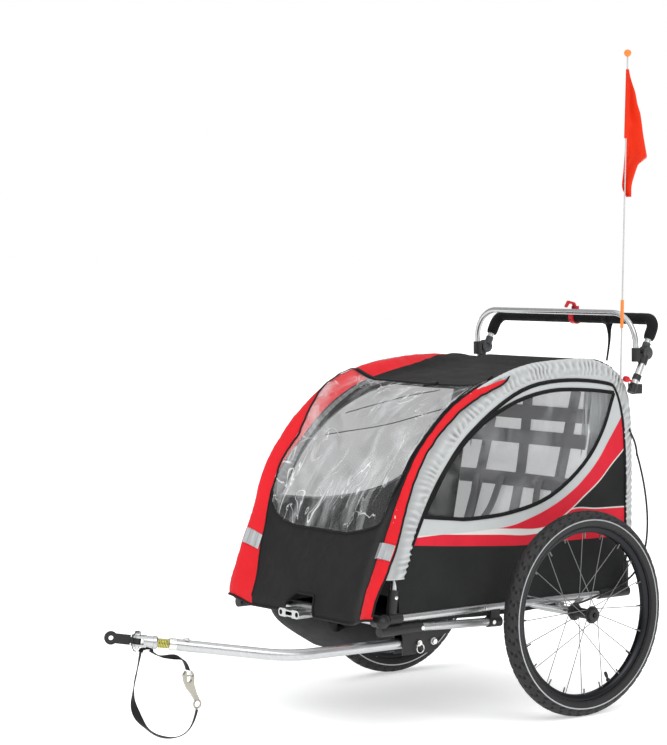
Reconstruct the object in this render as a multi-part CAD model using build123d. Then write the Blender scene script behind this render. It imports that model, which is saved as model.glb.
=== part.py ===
from build123d import *
import math
import os

# Child bicycle trailer with two 20 inch wheels, a folding tube frame under a fabric cabin,
# a push handle, a tow arm with a spring hitch, and a safety flag. Millimetres.
# While it is modelled, +X is the trailer's left, -Y its direction of travel, +Z is up,
# Y = 0 is the wheel axle and Z = 0 the ground. place_and_export moves the origin to the
# middle of the footprint.

# ---- driving dimensions ---------------------------------------------------------------
WHEEL_RADIUS = 250.0
TYRE_SECTION = 22.5
RIM_INNER = 197.0
RIM_OUTER = 211.7
RIM_HALF_WIDTH = 12.5
WHEEL_X = 367.5
SPOKES = 20
AXLE_Z = 250.0
AXLE_RADIUS = 6.0
RUNNING = 0.05
HINGE_GAP = 0.15

RAIL_X = 285.0
RAIL_Z = 276.0
RAIL_RADIUS = 10.0
RAIL_FRONT = -543.0
RAIL_REAR = 214.0
CROSSBAR_Y = -560.0
REAR_TUBE_Y = 112.0

HOOP_X = 280.0
HOOP_RADIUS = 8.0
HOOP_FOOT_Y = -524.0
HOOP_FOOT_Z = 300.0
HOOP_REAR_Y = 221.0
NEST_OFFSET = 20.0  # the right hoop's rear leg stands this far forward, so it folds inside the left
SLEEVE_WIDTH = 40.0
SLEEVE_DEPTH = 28.0
SLEEVE_FOOT_Z = 367.0
PANEL_X = 287.0
PANEL_THICK = 3.0

COVER_HALF_WIDTH = 261.0
FABRIC = 3.0
FLOOR_TOP = 265.5

POST_X = 307.0
BAR_X = 302.0
BAR_Y = 238.0
BAR_TOP = 973.0
HANDLE_PIVOT_Y = 268.0
HANDLE_PIVOT_Z = 873.0
HANDLE_X = 298.5
HANDLE_BAR_Y = 309.0
HANDLE_BAR_Z = 957.0
FOAM_RADIUS = 14.5
LEVER_X = 6.0
LEVER_PIVOT_Z = HANDLE_BAR_Z + 24.0

ARM_X = 262.0
ARM_RADIUS = 13.0
ARM_PIVOT_Y = -401.0
ARM_PIVOT_Z = 212.0
LOCK_PIN_Y = -444.0
ARM_BEND = (262.0, -805.0, 216.0)
EYE_CENTRE = (90.0, -1165.0, 272.0)
TUBE_END = 130.0  # distance from the eye's centre back to the end of the tow tube
PIN_FROM_EYE = 58.0
CLEVIS_GAP = 7.0
EYE_HOLE_RADIUS = 5.25
EYE_THICK = 5.0

FLAG_X = 299.0
FLAG_FOOT = (299.0, 188.0, 800.0)
FLAG_TOP = (299.0, 205.0, 1608.0)


# ---- small builders -------------------------------------------------------------------
def route(points, radii):
    """A line through the points, with its corners rounded to the given radii."""
    if len(points) == 2:
        return Line(*points)
    return FilletPolyline(*points, radius=radii)


def pipe(points, outer, radii=None, wall=0.0):
    """A round bar or tube along the points."""
    path = route(points, radii)
    ring = Circle(outer)
    if wall:
        ring = ring - Circle(outer - wall)
    return sweep(Plane(origin=path @ 0, z_dir=path % 0) * ring, path=path)


def rod(start, end, radius, bore=0.0):
    """A straight bar between two points, with a hole along it where bore is given."""
    a = Vector(*start)
    b = Vector(*end)
    plane = Plane(origin=(a + b) * 0.5, z_dir=b - a)
    bar = Cylinder(radius, (b - a).length)
    if bore:
        bar = bar - Cylinder(bore, (b - a).length + 1)
    return plane * bar


def block(low, high):
    """A box between two corners."""
    size = [h - l for l, h in zip(low, high)]
    centre = [(h + l) / 2 for l, h in zip(low, high)]
    return Pos(*centre) * Box(*size)


def mirrored(shape):
    return mirror(shape, about=Plane.YZ)


def both(shape):
    """The left piece and its mirror image, as one group."""
    return [shape, mirrored(shape)]


def side_plate(outline, x_low, x_high):
    """A plate parallel to the YZ plane, from a face drawn with Y across and Z up."""
    plane = Plane(origin=(x_low, 0, 0), x_dir=(0, 1, 0), z_dir=(1, 0, 0))
    return extrude(plane * outline, amount=x_high - x_low)


# ---- wheels ---------------------------------------------------------------------------
def wheel_parts():
    """The left wheel: tyre, rim, hub and spokes about the X axis at WHEEL_X."""
    centre = Pos(WHEEL_X, 0, AXLE_Z) * Rot(0, 90, 0)
    rim_band = Cylinder(RIM_OUTER, 2 * RIM_HALF_WIDTH) - Cylinder(RIM_INNER, 30)
    bead_seat = Cylinder(RIM_OUTER + 0.3, 2 * RIM_HALF_WIDTH + 0.6)
    middle = WHEEL_RADIUS - TYRE_SECTION
    section = Plane.XZ * Pos(middle, 0) * (Circle(TYRE_SECTION) - Circle(TYRE_SECTION - 3.5))
    tyre = revolve(section, Axis.Z) - bead_seat
    flange = Cylinder(21, 4)
    hub = Cylinder(13, 68) + Pos(0, 0, 30) * flange + Pos(0, 0, -30) * flange
    hub += Pos(0, 0, 36) * Cylinder(17, 8)
    hub -= Cylinder(AXLE_RADIUS + RUNNING, 100)
    spokes = []
    for i in range(SPOKES):
        side = 1 if i % 2 else -1
        rim_angle = 360.0 * i / SPOKES
        lead = 38.0 if i % 4 < 2 else -38.0
        at_hub = math.radians(rim_angle + lead)
        at_rim = math.radians(rim_angle)
        low = (22.3 * math.cos(at_hub), 22.3 * math.sin(at_hub), 30.0 * side)
        reach = RIM_INNER - 0.3
        high = (reach * math.cos(at_rim), reach * math.sin(at_rim), 4.0 * side)
        spokes.append(centre * rod(low, high, 1.0))
    return centre * tyre, centre * rim_band, centre * hub, spokes


def axle_button():
    """The quick-release button in the hub's outer cap. It pushes in 3 mm."""
    return rod((WHEEL_X + 35.5, 0, AXLE_Z), (WHEEL_X + 43.0, 0, AXLE_Z), 5.0)


# ---- chassis --------------------------------------------------------------------------
def floor_frame():
    """Side rails, rear cross tube, axle tube and gussets, welded, and the lower front tubes."""
    frame = rod((-RAIL_X, REAR_TUBE_Y, RAIL_Z), (RAIL_X, REAR_TUBE_Y, RAIL_Z), RAIL_RADIUS)
    for side in (-1, 1):
        x = side * RAIL_X
        frame += rod((x, RAIL_FRONT, RAIL_Z), (x, RAIL_REAR, RAIL_Z), RAIL_RADIUS)
        for y in (-105, 78):
            frame += rod((x, y, RAIL_Z - 4), (side * 316, 0, AXLE_Z), 7.0)
        frame += block((x - 5, -9, AXLE_Z), (x + 5, 9, RAIL_Z))
    frame += rod((-324, 0, AXLE_Z), (324, 0, AXLE_Z), 11.0)
    for side in (-1, 1):
        frame -= rod((side * 280, 0, AXLE_Z), (side * 330, 0, AXLE_Z), AXLE_RADIUS)
    inner = RAIL_X - RAIL_RADIUS
    frame -= block((-inner, -60, FLOOR_TOP - 4.2), (inner, 60, FLOOR_TOP + 0.3))
    lower = rod((RAIL_X, -441, 249.5), (RAIL_X, -214, 241), 10.0)
    return [frame, *both(lower)]


def stub_axle():
    return rod((280.2, 0, AXLE_Z), (WHEEL_X + 32, 0, AXLE_Z), AXLE_RADIUS)


def front_crossbar():
    return rod((-261, CROSSBAR_Y, 272), (261, CROSSBAR_Y, 272), RAIL_RADIUS)


def front_corner():
    """A moulded elbow that joins rail and crossbar, with a socket under it for the lower tube."""
    elbow = rod((261.3, CROSSBAR_Y, 272), (290, CROSSBAR_Y, 272), 14.0)
    elbow += rod((RAIL_X, CROSSBAR_Y, 274), (RAIL_X, RAIL_FRONT - 0.3, 274), 14.0)
    elbow += Pos(289, CROSSBAR_Y, 271) * Sphere(16.0)
    elbow += rod((RAIL_X, CROSSBAR_Y - 6, 250), (RAIL_X, -441, 249.5), 12.4)
    elbow -= rod((RAIL_X, -470, 250.5), (RAIL_X, -430, 249.1), 10.1)
    return elbow


def tube_end_clamp():
    """The clamp that hangs the lower tube's rear end from the rail."""
    clamp = rod((RAIL_X, -236, 241.8), (RAIL_X, -198, 240.4), 13.0)
    clamp += block((RAIL_X - 9, -232, 241), (RAIL_X + 9, -204, RAIL_Z))
    clamp -= rod((RAIL_X, -250, RAIL_Z), (RAIL_X, -190, RAIL_Z), RAIL_RADIUS + 0.1)
    clamp -= rod((RAIL_X, -250, 242.35), (RAIL_X, -213.7, 240.99), 10.1)
    return clamp


def tow_receiver():
    """The folding bracket: two cheeks and a top plate, open below and in front."""
    with BuildSketch() as cheek:
        with BuildLine():
            Polyline(
                (-491, 238), (-491, 186), (-412, 186), (-392, 194), (-384, 206),
                (-384, 218), (-366, 224), (-352, 229), (-352, 238), close=True,
            )
        make_face()
        with Locations((LOCK_PIN_Y, ARM_PIVOT_Z)):
            Circle(4.6, mode=Mode.SUBTRACT)
        with Locations((ARM_PIVOT_Y, ARM_PIVOT_Z)):
            Circle(5.1, mode=Mode.SUBTRACT)
        with BuildLine():
            Polyline(
                (LOCK_PIN_Y - 4.6, ARM_PIVOT_Z), (LOCK_PIN_Y - 4.6, 180),
                (LOCK_PIN_Y + 18, 180), (LOCK_PIN_Y + 4.6, ARM_PIVOT_Z), close=True,
            )
        make_face(mode=Mode.SUBTRACT)
    inner = ARM_RADIUS + 0.8
    wall = 3.2
    bracket = block((ARM_X - inner - wall, -491, 234.5), (ARM_X + inner + wall, -352, 238))
    for low in (ARM_X - inner - wall, ARM_X + inner):
        bracket += side_plate(cheek.sketch, low, low + wall)
    return bracket


def front_wheel_receiver():
    """The extrusion under the nose that takes a front wheel's two prongs."""
    outline = RectangleRounded(84, 20, 9.9)
    outline -= Pos(-32, 0) * Circle(6.0)
    outline -= Pos(32, 0) * Circle(6.0)
    outline -= RectangleRounded(26, 9, 3)
    outline -= Pos(0, 14) * Rectangle(24, 12)
    outline -= Pos(0, -14) * Rectangle(24, 12)
    plane = Plane(origin=(0, -616, 262), x_dir=(1, 0, 0), z_dir=(0, -1, 0))
    body = extrude(plane * outline, amount=-45)
    return body + block((-36, -570.2, 256), (36, -561, 262)) - rod(
        (-60, CROSSBAR_Y, 272), (60, CROSSBAR_Y, 272), RAIL_RADIUS + 0.1
    )


def floor_panel():
    """The fabric floor between the rails, open over the footwell."""
    low = FLOOR_TOP - 4
    panel = block((-273, -498, low), (273, 98, FLOOR_TOP))
    panel -= block((-165, -480, low - 1), (165, -262, FLOOR_TOP + 1))
    return panel


def footwell():
    """The soft tub that hangs under the floor for the children's feet."""
    top = FLOOR_TOP - 4.2
    with BuildSketch(Plane.XY.offset(top)) as upper:
        with Locations((0, -400)):
            RectangleRounded(376, 320, 60)
    with BuildSketch(Plane.XY.offset(top - 100)) as lower:
        with Locations((0, -380)):
            RectangleRounded(230, 190, 50)
    tub = loft([upper.sketch.face(), lower.sketch.face()])
    with BuildSketch(Plane.XY.offset(top + 0.01)) as upper_in:
        with Locations((0, -400)):
            RectangleRounded(368, 312, 56)
    with BuildSketch(Plane.XY.offset(top - 96)) as lower_in:
        with Locations((0, -380)):
            RectangleRounded(222, 182, 46)
    tub -= loft([upper_in.sketch.face(), lower_in.sketch.face()])
    tub -= block((-45, -600, 250.5), (45, -540, 270))
    tub -= rod((-261, CROSSBAR_Y, 272), (261, CROSSBAR_Y, 272), RAIL_RADIUS + 1)
    return tub


# ---- cabin cover ----------------------------------------------------------------------
FRONT_POINTS = [(-583, 278), (-489, 530), (-269, 800), (196, 861)]
FRONT_RADII = [470, 420]
SKIN_SAMPLES = 28
WINDOW_LOW = 466.0
WINDOW_HIGH = 796.0
WINDOW_HALF_WIDTH = 238.0
SEAM_Y = -212.0


def nose_and_roof():
    """The whole skin from the lower front edge to the rear of the roof, one fabric thick."""
    line = FilletPolyline(*FRONT_POINTS, radius=FRONT_RADII)
    outer = []
    inner = []
    for i in range(SKIN_SAMPLES + 1):
        distance = line.length * i / SKIN_SAMPLES
        point = line.position_at(distance, position_mode=PositionMode.LENGTH)
        along = line.tangent_at(distance, position_mode=PositionMode.LENGTH)
        outer.append(point)
        inner.append(point + Vector(along.Y, -along.X) * FABRIC)
    face = make_face([
        Spline(*outer), Line(outer[-1], inner[-1]), Spline(*reversed(inner)), Line(inner[0], outer[0]),
    ])
    return side_plate(face, -COVER_HALF_WIDTH, COVER_HALF_WIDTH)


def window_prism(half_width):
    """The space of the front window, through the nose from front to back."""
    with BuildSketch(Plane.XZ) as opening:
        with Locations((0, (WINDOW_LOW + WINDOW_HIGH) / 2)):
            RectangleRounded(2 * half_width, WINDOW_HIGH - WINDOW_LOW, 60)
    return extrude(opening.sketch, amount=-200) + extrude(opening.sketch, amount=700)


def front_cover():
    """The nose: a lower panel, and a strap up each side of the window."""
    skin = nose_and_roof() - block((-300, SEAM_Y, 200), (300, 300, 1000))
    skin -= window_prism(WINDOW_HALF_WIDTH)
    skin -= block((-62, -600, 270), (62, -560, 292))
    return skin


def front_window():
    """The clear sheet that fills the window's opening."""
    skin = nose_and_roof() - block((-300, SEAM_Y, 200), (300, 300, 1000))
    return largest(skin & window_prism(WINDOW_HALF_WIDTH - 0.4))


def roof_panel():
    return nose_and_roof() - block((-300, -700, 200), (300, SEAM_Y + 0.4, 1000))


def back_panel():
    """The rear sheet, from the roof's edge down to the rear cross tube."""
    outline = Polyline(
        (196.6, 861), (199.6, 861), (196, 300), (126, 268), (124, 270), (193, 302), close=True
    )
    return side_plate(make_face(outline), -254, 254)


def seat():
    """The sling seat: a base and a leaning back, sewn together."""
    outline = Polyline(
        (-110, 352), (70, 340), (100, 352), (158, 720), (146, 722), (90, 372), (66, 358),
        (-110, 370), close=True,
    )
    return side_plate(make_face(outline), -245, 245)


def harness():
    """Two three-point harnesses: shoulder straps and a lap strap for each child."""
    straps = []
    for x in (-175, -75, 75, 175):
        outline = Polyline((88, 400), (138, 700), (135, 701), (84, 402), close=True)
        straps.append(side_plate(make_face(outline), x - 12, x + 12))
    for x in (-125, 125):
        straps.append(block((x - 12, -80, 372), (x + 12, 50, 375)))
    return straps


# ---- folding sides --------------------------------------------------------------------
HOOP_RADII = [270, 470, 106]
FRONT_LEAN = 32.0 / 270.0
REAR_LEAN = 7.0 / 545.0


def hoop_line(rear_y, foot_z=HOOP_FOOT_Z):
    """The hoop's centre line at HOOP_X, from the front foot over the top to the rear foot."""
    rise = foot_z - HOOP_FOOT_Z
    front = (HOOP_FOOT_Y + FRONT_LEAN * rise, foot_z)
    rear = (rear_y - REAR_LEAN * rise, foot_z)
    points = [front, (HOOP_FOOT_Y + 32, 570), (-278, 841), (rear_y - 7, 845), rear]
    return FilletPolyline(*[(HOOP_X, y, z) for y, z in points], radius=HOOP_RADII)


def hoop(rear_y):
    path = hoop_line(rear_y)
    ring = Circle(HOOP_RADIUS) - Circle(HOOP_RADIUS - 1.6)
    return sweep(Plane(origin=path @ 0, z_dir=path % 0) * ring, path=path)


def hoop_sleeve(rear_y):
    """The gathered fabric tunnel round the hoop."""
    path = hoop_line(rear_y, SLEEVE_FOOT_Z)
    section = RectangleRounded(SLEEVE_DEPTH, SLEEVE_WIDTH, 12)
    section -= RectangleRounded(SLEEVE_DEPTH - FABRIC, SLEEVE_WIDTH - FABRIC, 10.5)
    plane = Plane(origin=path @ 0, x_dir=(1, 0, 0), z_dir=path % 0)
    return sweep(plane * section, path=path)


def front_tee():
    """Turns on the rail and holds the hoop's front foot."""
    lean = Vector(0, 32, 270).normalized()
    foot = Vector(HOOP_X, HOOP_FOOT_Y, HOOP_FOOT_Z)
    tee = rod((RAIL_X, -541, RAIL_Z), (RAIL_X, -503, RAIL_Z), 13.0)
    tee += rod(foot - lean * 12, foot + lean * 43, 12.5)
    tee -= rod((RAIL_X, -545, RAIL_Z), (RAIL_X, -500, RAIL_Z), RAIL_RADIUS + HINGE_GAP)
    tee -= rod(foot, foot + lean * 50, HOOP_RADIUS + 0.1)
    return tee


def rear_corner(rear_y):
    """Turns on the rail's rear end and holds the hoop's rear foot."""
    corner = rod((RAIL_X, 127, RAIL_Z), (RAIL_X, 228, RAIL_Z), 13.0)
    corner += rod((HOOP_X, rear_y, RAIL_Z + 2), (HOOP_X, rear_y, 351), 12.5)
    corner -= rod((RAIL_X, 120, RAIL_Z), (RAIL_X, RAIL_REAR + 0.2, RAIL_Z), RAIL_RADIUS + HINGE_GAP)
    foot = Vector(HOOP_X, rear_y, HOOP_FOOT_Z)
    corner -= rod(foot, foot + Vector(0, -REAR_LEAN, 1) * 60, HOOP_RADIUS + 0.1)
    return corner


def panel_outline(rear_y):
    """The side panel's edge: inside the hoop's sleeve above, and straight along the rail."""
    inset = SLEEVE_WIDTH / 2 - 1.0
    with BuildSketch() as face:
        with BuildLine():
            FilletPolyline(
                (-506, 290), (-506 + 32, 570), (-278 + 14, 841 - inset), (rear_y - 26, 845 - inset),
                (rear_y - 20, 290), radius=[250, 450, 86],
            )
            Line((rear_y - 20, 290), (-506, 290))
        make_face()
    return face.sketch


WINDOW_BOTTOM = [(-443, 509), (-338, 491), (-232, 492), (-136, 508), (-38, 549), (98, 663), (163, 783)]
WINDOW_TOP = [(163, 783), (75, 800), (-67, 796), (-206, 749), (-339, 649), (-443, 509)]


def leaf(shift):
    """The leaf-shaped side window, moved back by shift at its rear corner."""
    bottom = [(y - shift * (y + 443) / 606, z) for y, z in WINDOW_BOTTOM]
    top = [(y - shift * (y + 443) / 606, z) for y, z in WINDOW_TOP]
    return make_face([Spline(*bottom), Spline(*top)])


def side_panel(rear_y):
    """The side of the cabin, open at its window."""
    plate = side_plate(panel_outline(rear_y), PANEL_X, PANEL_X + PANEL_THICK)
    hole = side_plate(leaf(HOOP_REAR_Y - rear_y), PANEL_X - 2, PANEL_X + 6)
    path = hoop_line(rear_y, SLEEVE_FOOT_Z)
    solid = RectangleRounded(SLEEVE_DEPTH + 2, SLEEVE_WIDTH + 0.6, 12)
    plane = Plane(origin=path @ 0, x_dir=(1, 0, 0), z_dir=path % 0)
    fittings = rod((RAIL_X, -545, RAIL_Z), (RAIL_X, 230, RAIL_Z), 13.6)
    plate = plate - hole - sweep(plane * solid, path=path) - fittings
    return largest(plate - tee_space() - corner_space(rear_y))


def tee_space():
    lean = Vector(0, 32, 270).normalized()
    foot = Vector(HOOP_X, HOOP_FOOT_Y, HOOP_FOOT_Z)
    return rod(foot - lean * 20, foot + lean * 80, 13.0)


def corner_space(rear_y):
    return rod((HOOP_X, rear_y, RAIL_Z), (HOOP_X, rear_y, 380), 13.0)


def largest(shape):
    return max(shape.solids(), key=lambda solid: solid.volume)


def side_window(rear_y):
    """The clear leaf in the side panel's window."""
    return side_plate(leaf(HOOP_REAR_Y - rear_y), PANEL_X + 0.7, PANEL_X + 2.3)


# ---- roll bar, handle and flag ----------------------------------------------------------
def roll_bar():
    points = [
        (BAR_X, BAR_Y, 868), (BAR_X - 2, BAR_Y - 4, BAR_TOP),
        (-BAR_X + 2, BAR_Y - 4, BAR_TOP), (-BAR_X, BAR_Y, 868),
    ]
    return pipe(points, 7.0, [78, 78], wall=1.5)


def bar_post():
    """The slanting tube between the cabin's rear corner and the handle joint."""
    return rod((POST_X, 222, 786), (POST_X, 254.8, 848), 9.0)


def bar_fitting():
    """The moulding on the post: the roll bar's socket and half of the handle joint."""
    fitting = rod((POST_X, 253.9, 846.3), (POST_X, 264, 866), 11.5)
    fitting += rod((HANDLE_X + 4.8, HANDLE_PIVOT_Y, HANDLE_PIVOT_Z),
                   (HANDLE_X + 16, HANDLE_PIVOT_Y, HANDLE_PIVOT_Z), 16.5)
    fitting += rod((BAR_X, BAR_Y + 0.5, 852), (BAR_X, BAR_Y, 886), 11.5)
    fitting += block((BAR_X, BAR_Y, 856), (BAR_X + 10, HANDLE_PIVOT_Y - 8, 872))
    fitting -= rod((BAR_X, BAR_Y, 867), (BAR_X - 0.35, BAR_Y - 0.7, 887), 7.4)
    fitting -= rod((POST_X, 222, 786), (POST_X, 254.8, 848), 9.1)
    swept = rod((HANDLE_X - 20, HANDLE_PIVOT_Y, HANDLE_PIVOT_Z),
                (HANDLE_X + 4.8, HANDLE_PIVOT_Y, HANDLE_PIVOT_Z), 17.3)
    return fitting - swept


def bar_saddle():
    """Holds the post's foot beside the hoop's sleeve, and reaches behind it."""
    saddle = rod((POST_X, 216.5, 775.6), (POST_X, 227.5, 796.4), 10.8)
    saddle += block((268, 244.5, 772), (POST_X, 250, 796))
    saddle += block((297, 222, 772), (POST_X + 6, 250, 796))
    saddle -= rod((POST_X, 222, 786), (POST_X, 254.8, 848), 9.1)
    return saddle


def bar_pin():
    """The pull pin, with its red knob, that locks the post to the side frame."""
    pin = rod((POST_X + 4, 215, 804.4), (POST_X + 4, 199, 809), 3.0)
    return pin + Pos(POST_X + 4, 196, 810) * Sphere(6.5)


def handle_joint():
    """The toothed half that turns with the handle, and the boss its tube stands in."""
    up = Vector(0, HANDLE_BAR_Y - HANDLE_PIVOT_Y, HANDLE_BAR_Z - HANDLE_PIVOT_Z).normalized()
    centre = Vector(HANDLE_X, HANDLE_PIVOT_Y, HANDLE_PIVOT_Z)
    half = rod((HANDLE_X - 4, HANDLE_PIVOT_Y, HANDLE_PIVOT_Z),
               (HANDLE_X + 4.3, HANDLE_PIVOT_Y, HANDLE_PIVOT_Z), 16.5)
    half += rod(centre + up * 6, centre + up * 27, 10.2)
    half -= rod(centre + up * 17.8, centre + up * 40, 8.1)
    swept = rod((HANDLE_X + 4.3, HANDLE_PIVOT_Y, HANDLE_PIVOT_Z),
                (HANDLE_X + 30, HANDLE_PIVOT_Y, HANDLE_PIVOT_Z), 17.3)
    return half - swept


def handle_points(start):
    up = Vector(0, HANDLE_BAR_Y - HANDLE_PIVOT_Y, HANDLE_BAR_Z - HANDLE_PIVOT_Z).normalized()
    foot = Vector(HANDLE_X, HANDLE_PIVOT_Y, HANDLE_PIVOT_Z) + up * start
    return [
        (HANDLE_X, foot.Y, foot.Z), (HANDLE_X, HANDLE_BAR_Y, HANDLE_BAR_Z),
        (-HANDLE_X, HANDLE_BAR_Y, HANDLE_BAR_Z), (-HANDLE_X, foot.Y, foot.Z),
    ]


def handle_tube():
    return pipe(handle_points(18), 8.0, [30, 30], wall=1.6)


def handle_foam():
    path = route(handle_points(38), [30, 30])
    ring = Circle(FOAM_RADIUS) - Circle(8.1)
    return sweep(Plane(origin=path @ 0, z_dir=path % 0) * ring, path=path)


def brake_clamp():
    """The band on the handle that carries the parking brake lever, with its pivot pin."""
    bar = (HANDLE_BAR_Y, HANDLE_BAR_Z)
    pivot = (HANDLE_BAR_Y, LEVER_PIVOT_Z)
    band = rod((LEVER_X - 8, *bar), (LEVER_X + 8, *bar), 18.0, FOAM_RADIUS + 0.1)
    for low in (LEVER_X - 8, LEVER_X + 5):
        near = (low, HANDLE_BAR_Y - 6, HANDLE_BAR_Z + 15.5)
        band += block(near, (low + 3, HANDLE_BAR_Y + 6, LEVER_PIVOT_Z + 5))
    return band + rod((LEVER_X - 9, *pivot), (LEVER_X + 9, *pivot), 2.0)


def brake_lever():
    """The hooked lever, which swings back over the handle."""
    pivot = (HANDLE_BAR_Y, LEVER_PIVOT_Z)
    lever = rod((LEVER_X - 4.6, *pivot), (LEVER_X + 4.6, *pivot), 4.6)
    hook = make_face(Pos(*pivot) * Polyline(
        (-3, -2), (4, 0), (-4, 14), (-26, 19), (-36, 4), (-32, 1), (-23, 12), (-8, 9), close=True,
    ))
    lever += side_plate(hook, LEVER_X - 4, LEVER_X + 4)
    return lever - rod((LEVER_X - 10, *pivot), (LEVER_X + 10, *pivot), 2.0 + RUNNING)


def along_pole(height):
    """The point on the flag pole at this height."""
    share = (height - FLAG_FOOT[2]) / (FLAG_TOP[2] - FLAG_FOOT[2])
    return Vector(FLAG_X, FLAG_FOOT[1] + share * (FLAG_TOP[1] - FLAG_FOOT[1]), height)


def flag_pole():
    """Two glass-fibre rods, the ferrule that joins them, and the ball on top."""
    lower = rod(along_pole(800), along_pole(971), 2.5)
    upper = rod(along_pole(971.2), along_pole(1608), 2.0)
    ferrule = rod(along_pole(937), along_pole(1006), 4.2, 2.6)
    ball = Pos(*along_pole(1617)) * Sphere(9.0) - rod(along_pole(1600), along_pole(1608.2), 2.6)
    return [lower, upper, ferrule, ball]


def flag_pennant():
    """The pennant, hanging folded from the pole in its hem."""
    hem = rod(along_pole(1268), along_pole(1576), 3.6, 2.2)
    with BuildSketch() as cloth:
        with BuildLine():
            Polyline(
                (202, 1576), (208, 1574), (262, 1362), (236, 1345), (202, 1262), (180, 1284),
                (184, 1360), (192, 1440), close=True,
            )
        make_face()
    pennant = side_plate(cloth.sketch, FLAG_X - 3.5, FLAG_X + 3.5) + hem
    return pennant - rod(along_pole(1240), along_pole(1600), 2.2)


# ---- tow arm ----------------------------------------------------------------------------
def arm_frame():
    """The hitch end's plane: origin at the eye, Z back along the tube, X to the left, level."""
    along = (Vector(*ARM_BEND) - Vector(*EYE_CENTRE)).normalized()
    across = Vector(-along.Y, along.X, 0).normalized() * -1
    return Plane(origin=EYE_CENTRE, x_dir=across, z_dir=along)


def tow_tube():
    end = arm_frame().origin + arm_frame().z_dir * TUBE_END
    foot = (ARM_X, ARM_PIVOT_Y + 15, ARM_PIVOT_Z)
    tube = pipe([foot, ARM_BEND, end], ARM_RADIUS, [260], wall=2.0)
    for y in (ARM_PIVOT_Y, LOCK_PIN_Y):
        hole = 5.0 if y == ARM_PIVOT_Y else 4.0
        tube -= rod((ARM_X - 20, y, ARM_PIVOT_Z), (ARM_X + 20, y, ARM_PIVOT_Z), hole + RUNNING)
    return tube


def receiver_bolt():
    """The bolt that the tow arm folds about, with its head and nut."""
    bolt = rod((ARM_X - 23, ARM_PIVOT_Y, ARM_PIVOT_Z), (ARM_X + 23, ARM_PIVOT_Y, ARM_PIVOT_Z), 5.0)
    for side in (-1, 1):
        near = ARM_X + side * 17.2
        bolt += rod((near, ARM_PIVOT_Y, ARM_PIVOT_Z), (near + side * 4.5, ARM_PIVOT_Y, ARM_PIVOT_Z), 8.5)
    return bolt


def tow_lock_pin():
    """The pull pin through bracket and tube, with its wire ring hanging from the outer end."""
    pin = rod((ARM_X - 20, LOCK_PIN_Y, ARM_PIVOT_Z), (ARM_X + 27, LOCK_PIN_Y, ARM_PIVOT_Z), 4.0)
    pin += rod((ARM_X + 18, LOCK_PIN_Y, ARM_PIVOT_Z), (ARM_X + 23, LOCK_PIN_Y, ARM_PIVOT_Z), 6.5)
    ring = Pos(ARM_X + 25, LOCK_PIN_Y, ARM_PIVOT_Z - 12) * Rot(0, 90, 0) * Torus(10.5, 1.2)
    return pin + ring


def hitch_spring():
    """The coupling spring and the flexible core inside it."""
    frame = arm_frame()
    coil = frame * Pos(0, 0, TUBE_END - 15) * (Cylinder(11.5, 28) - Cylinder(8.0, 29))
    core = frame * Pos(0, 0, TUBE_END - 15) * Cylinder(6.0, 28)
    return [coil, core]


def coupler():
    """The barrel in front of the spring and the two ears of its clevis."""
    frame = arm_frame()
    body = frame * Pos(0, 0, TUBE_END - 44) * Cylinder(13.0, 28)
    for low in (-CLEVIS_GAP - 5, CLEVIS_GAP):
        ear = block((-13, low, PIN_FROM_EYE), (13, low + 5, PIN_FROM_EYE + 20))
        ear += Pos(0, low + 2.5, PIN_FROM_EYE) * Rot(90, 0, 0) * Cylinder(13.0, 5)
        body += frame * ear
    body -= frame * Pos(0, 0, PIN_FROM_EYE) * Rot(90, 0, 0) * Cylinder(4.1, 60)
    return body


def hitch_pin():
    """The upright pin of the clevis, with its head and wire clip."""
    frame = arm_frame() * Pos(0, 0, PIN_FROM_EYE) * Rot(90, 0, 0)
    pin = frame * Cylinder(4.0, 40)
    for side in (-1, 1):
        pin += frame * Pos(0, 0, side * (CLEVIS_GAP + 5.2 + 2.0)) * Cylinder(7.0, 4)
    return pin


def hitch_eye():
    """The forged eye: a barrel on the clevis pin, and an upright plate with the axle hole."""
    frame = arm_frame()
    plate = block((-EYE_THICK / 2, -11, 0), (EYE_THICK / 2, 11, PIN_FROM_EYE - 6))
    plate += Rot(0, 90, 0) * Cylinder(15.0, EYE_THICK)
    plate -= block((-20, 6.6, PIN_FROM_EYE - 15), (20, 20, PIN_FROM_EYE + 20))
    plate -= block((-20, -20, PIN_FROM_EYE - 15), (20, -6.6, PIN_FROM_EYE + 20))
    plate += Pos(0, 0, PIN_FROM_EYE) * Rot(90, 0, 0) * Cylinder(9.0, 2 * CLEVIS_GAP - 0.8)
    plate -= Pos(0, 0, PIN_FROM_EYE) * Rot(90, 0, 0) * Cylinder(4.0 + RUNNING, 60)
    plate -= Rot(0, 90, 0) * Cylinder(EYE_HOLE_RADIUS, 60)
    return frame * plate


STRAP_X = 118.0
STRAP_WIDTH = 18.0
STRAP_THICK = 2.4
LOOP_ROUTE = [
    (-1106, 238), (-1113, 205), (-1124, 165), (-1127, 122), (-1108, 82), (-1074, 50),
    (-1030, 34), (-990, 38), (-965, 62), (-957, 92),
]
GATE_PIVOT = (-971.0, 171.0)
SHORT_ROUTE = [(-1078, 236), (-1058, 222), (-1030, 219), (-1004, 216), (-987, 203), (-981, 184)]


def corner_radii(points):
    """The largest arc that each corner of a free strap leaves room for."""
    radii = []
    for a, b, c in zip(points, points[1:], points[2:]):
        first = Vector(*b) - Vector(*a)
        second = Vector(*c) - Vector(*b)
        turn = math.radians(first.get_angle(second))
        run = min(first.length, second.length)
        radii.append(0.45 * run / math.tan(turn / 2))
    return radii


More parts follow.
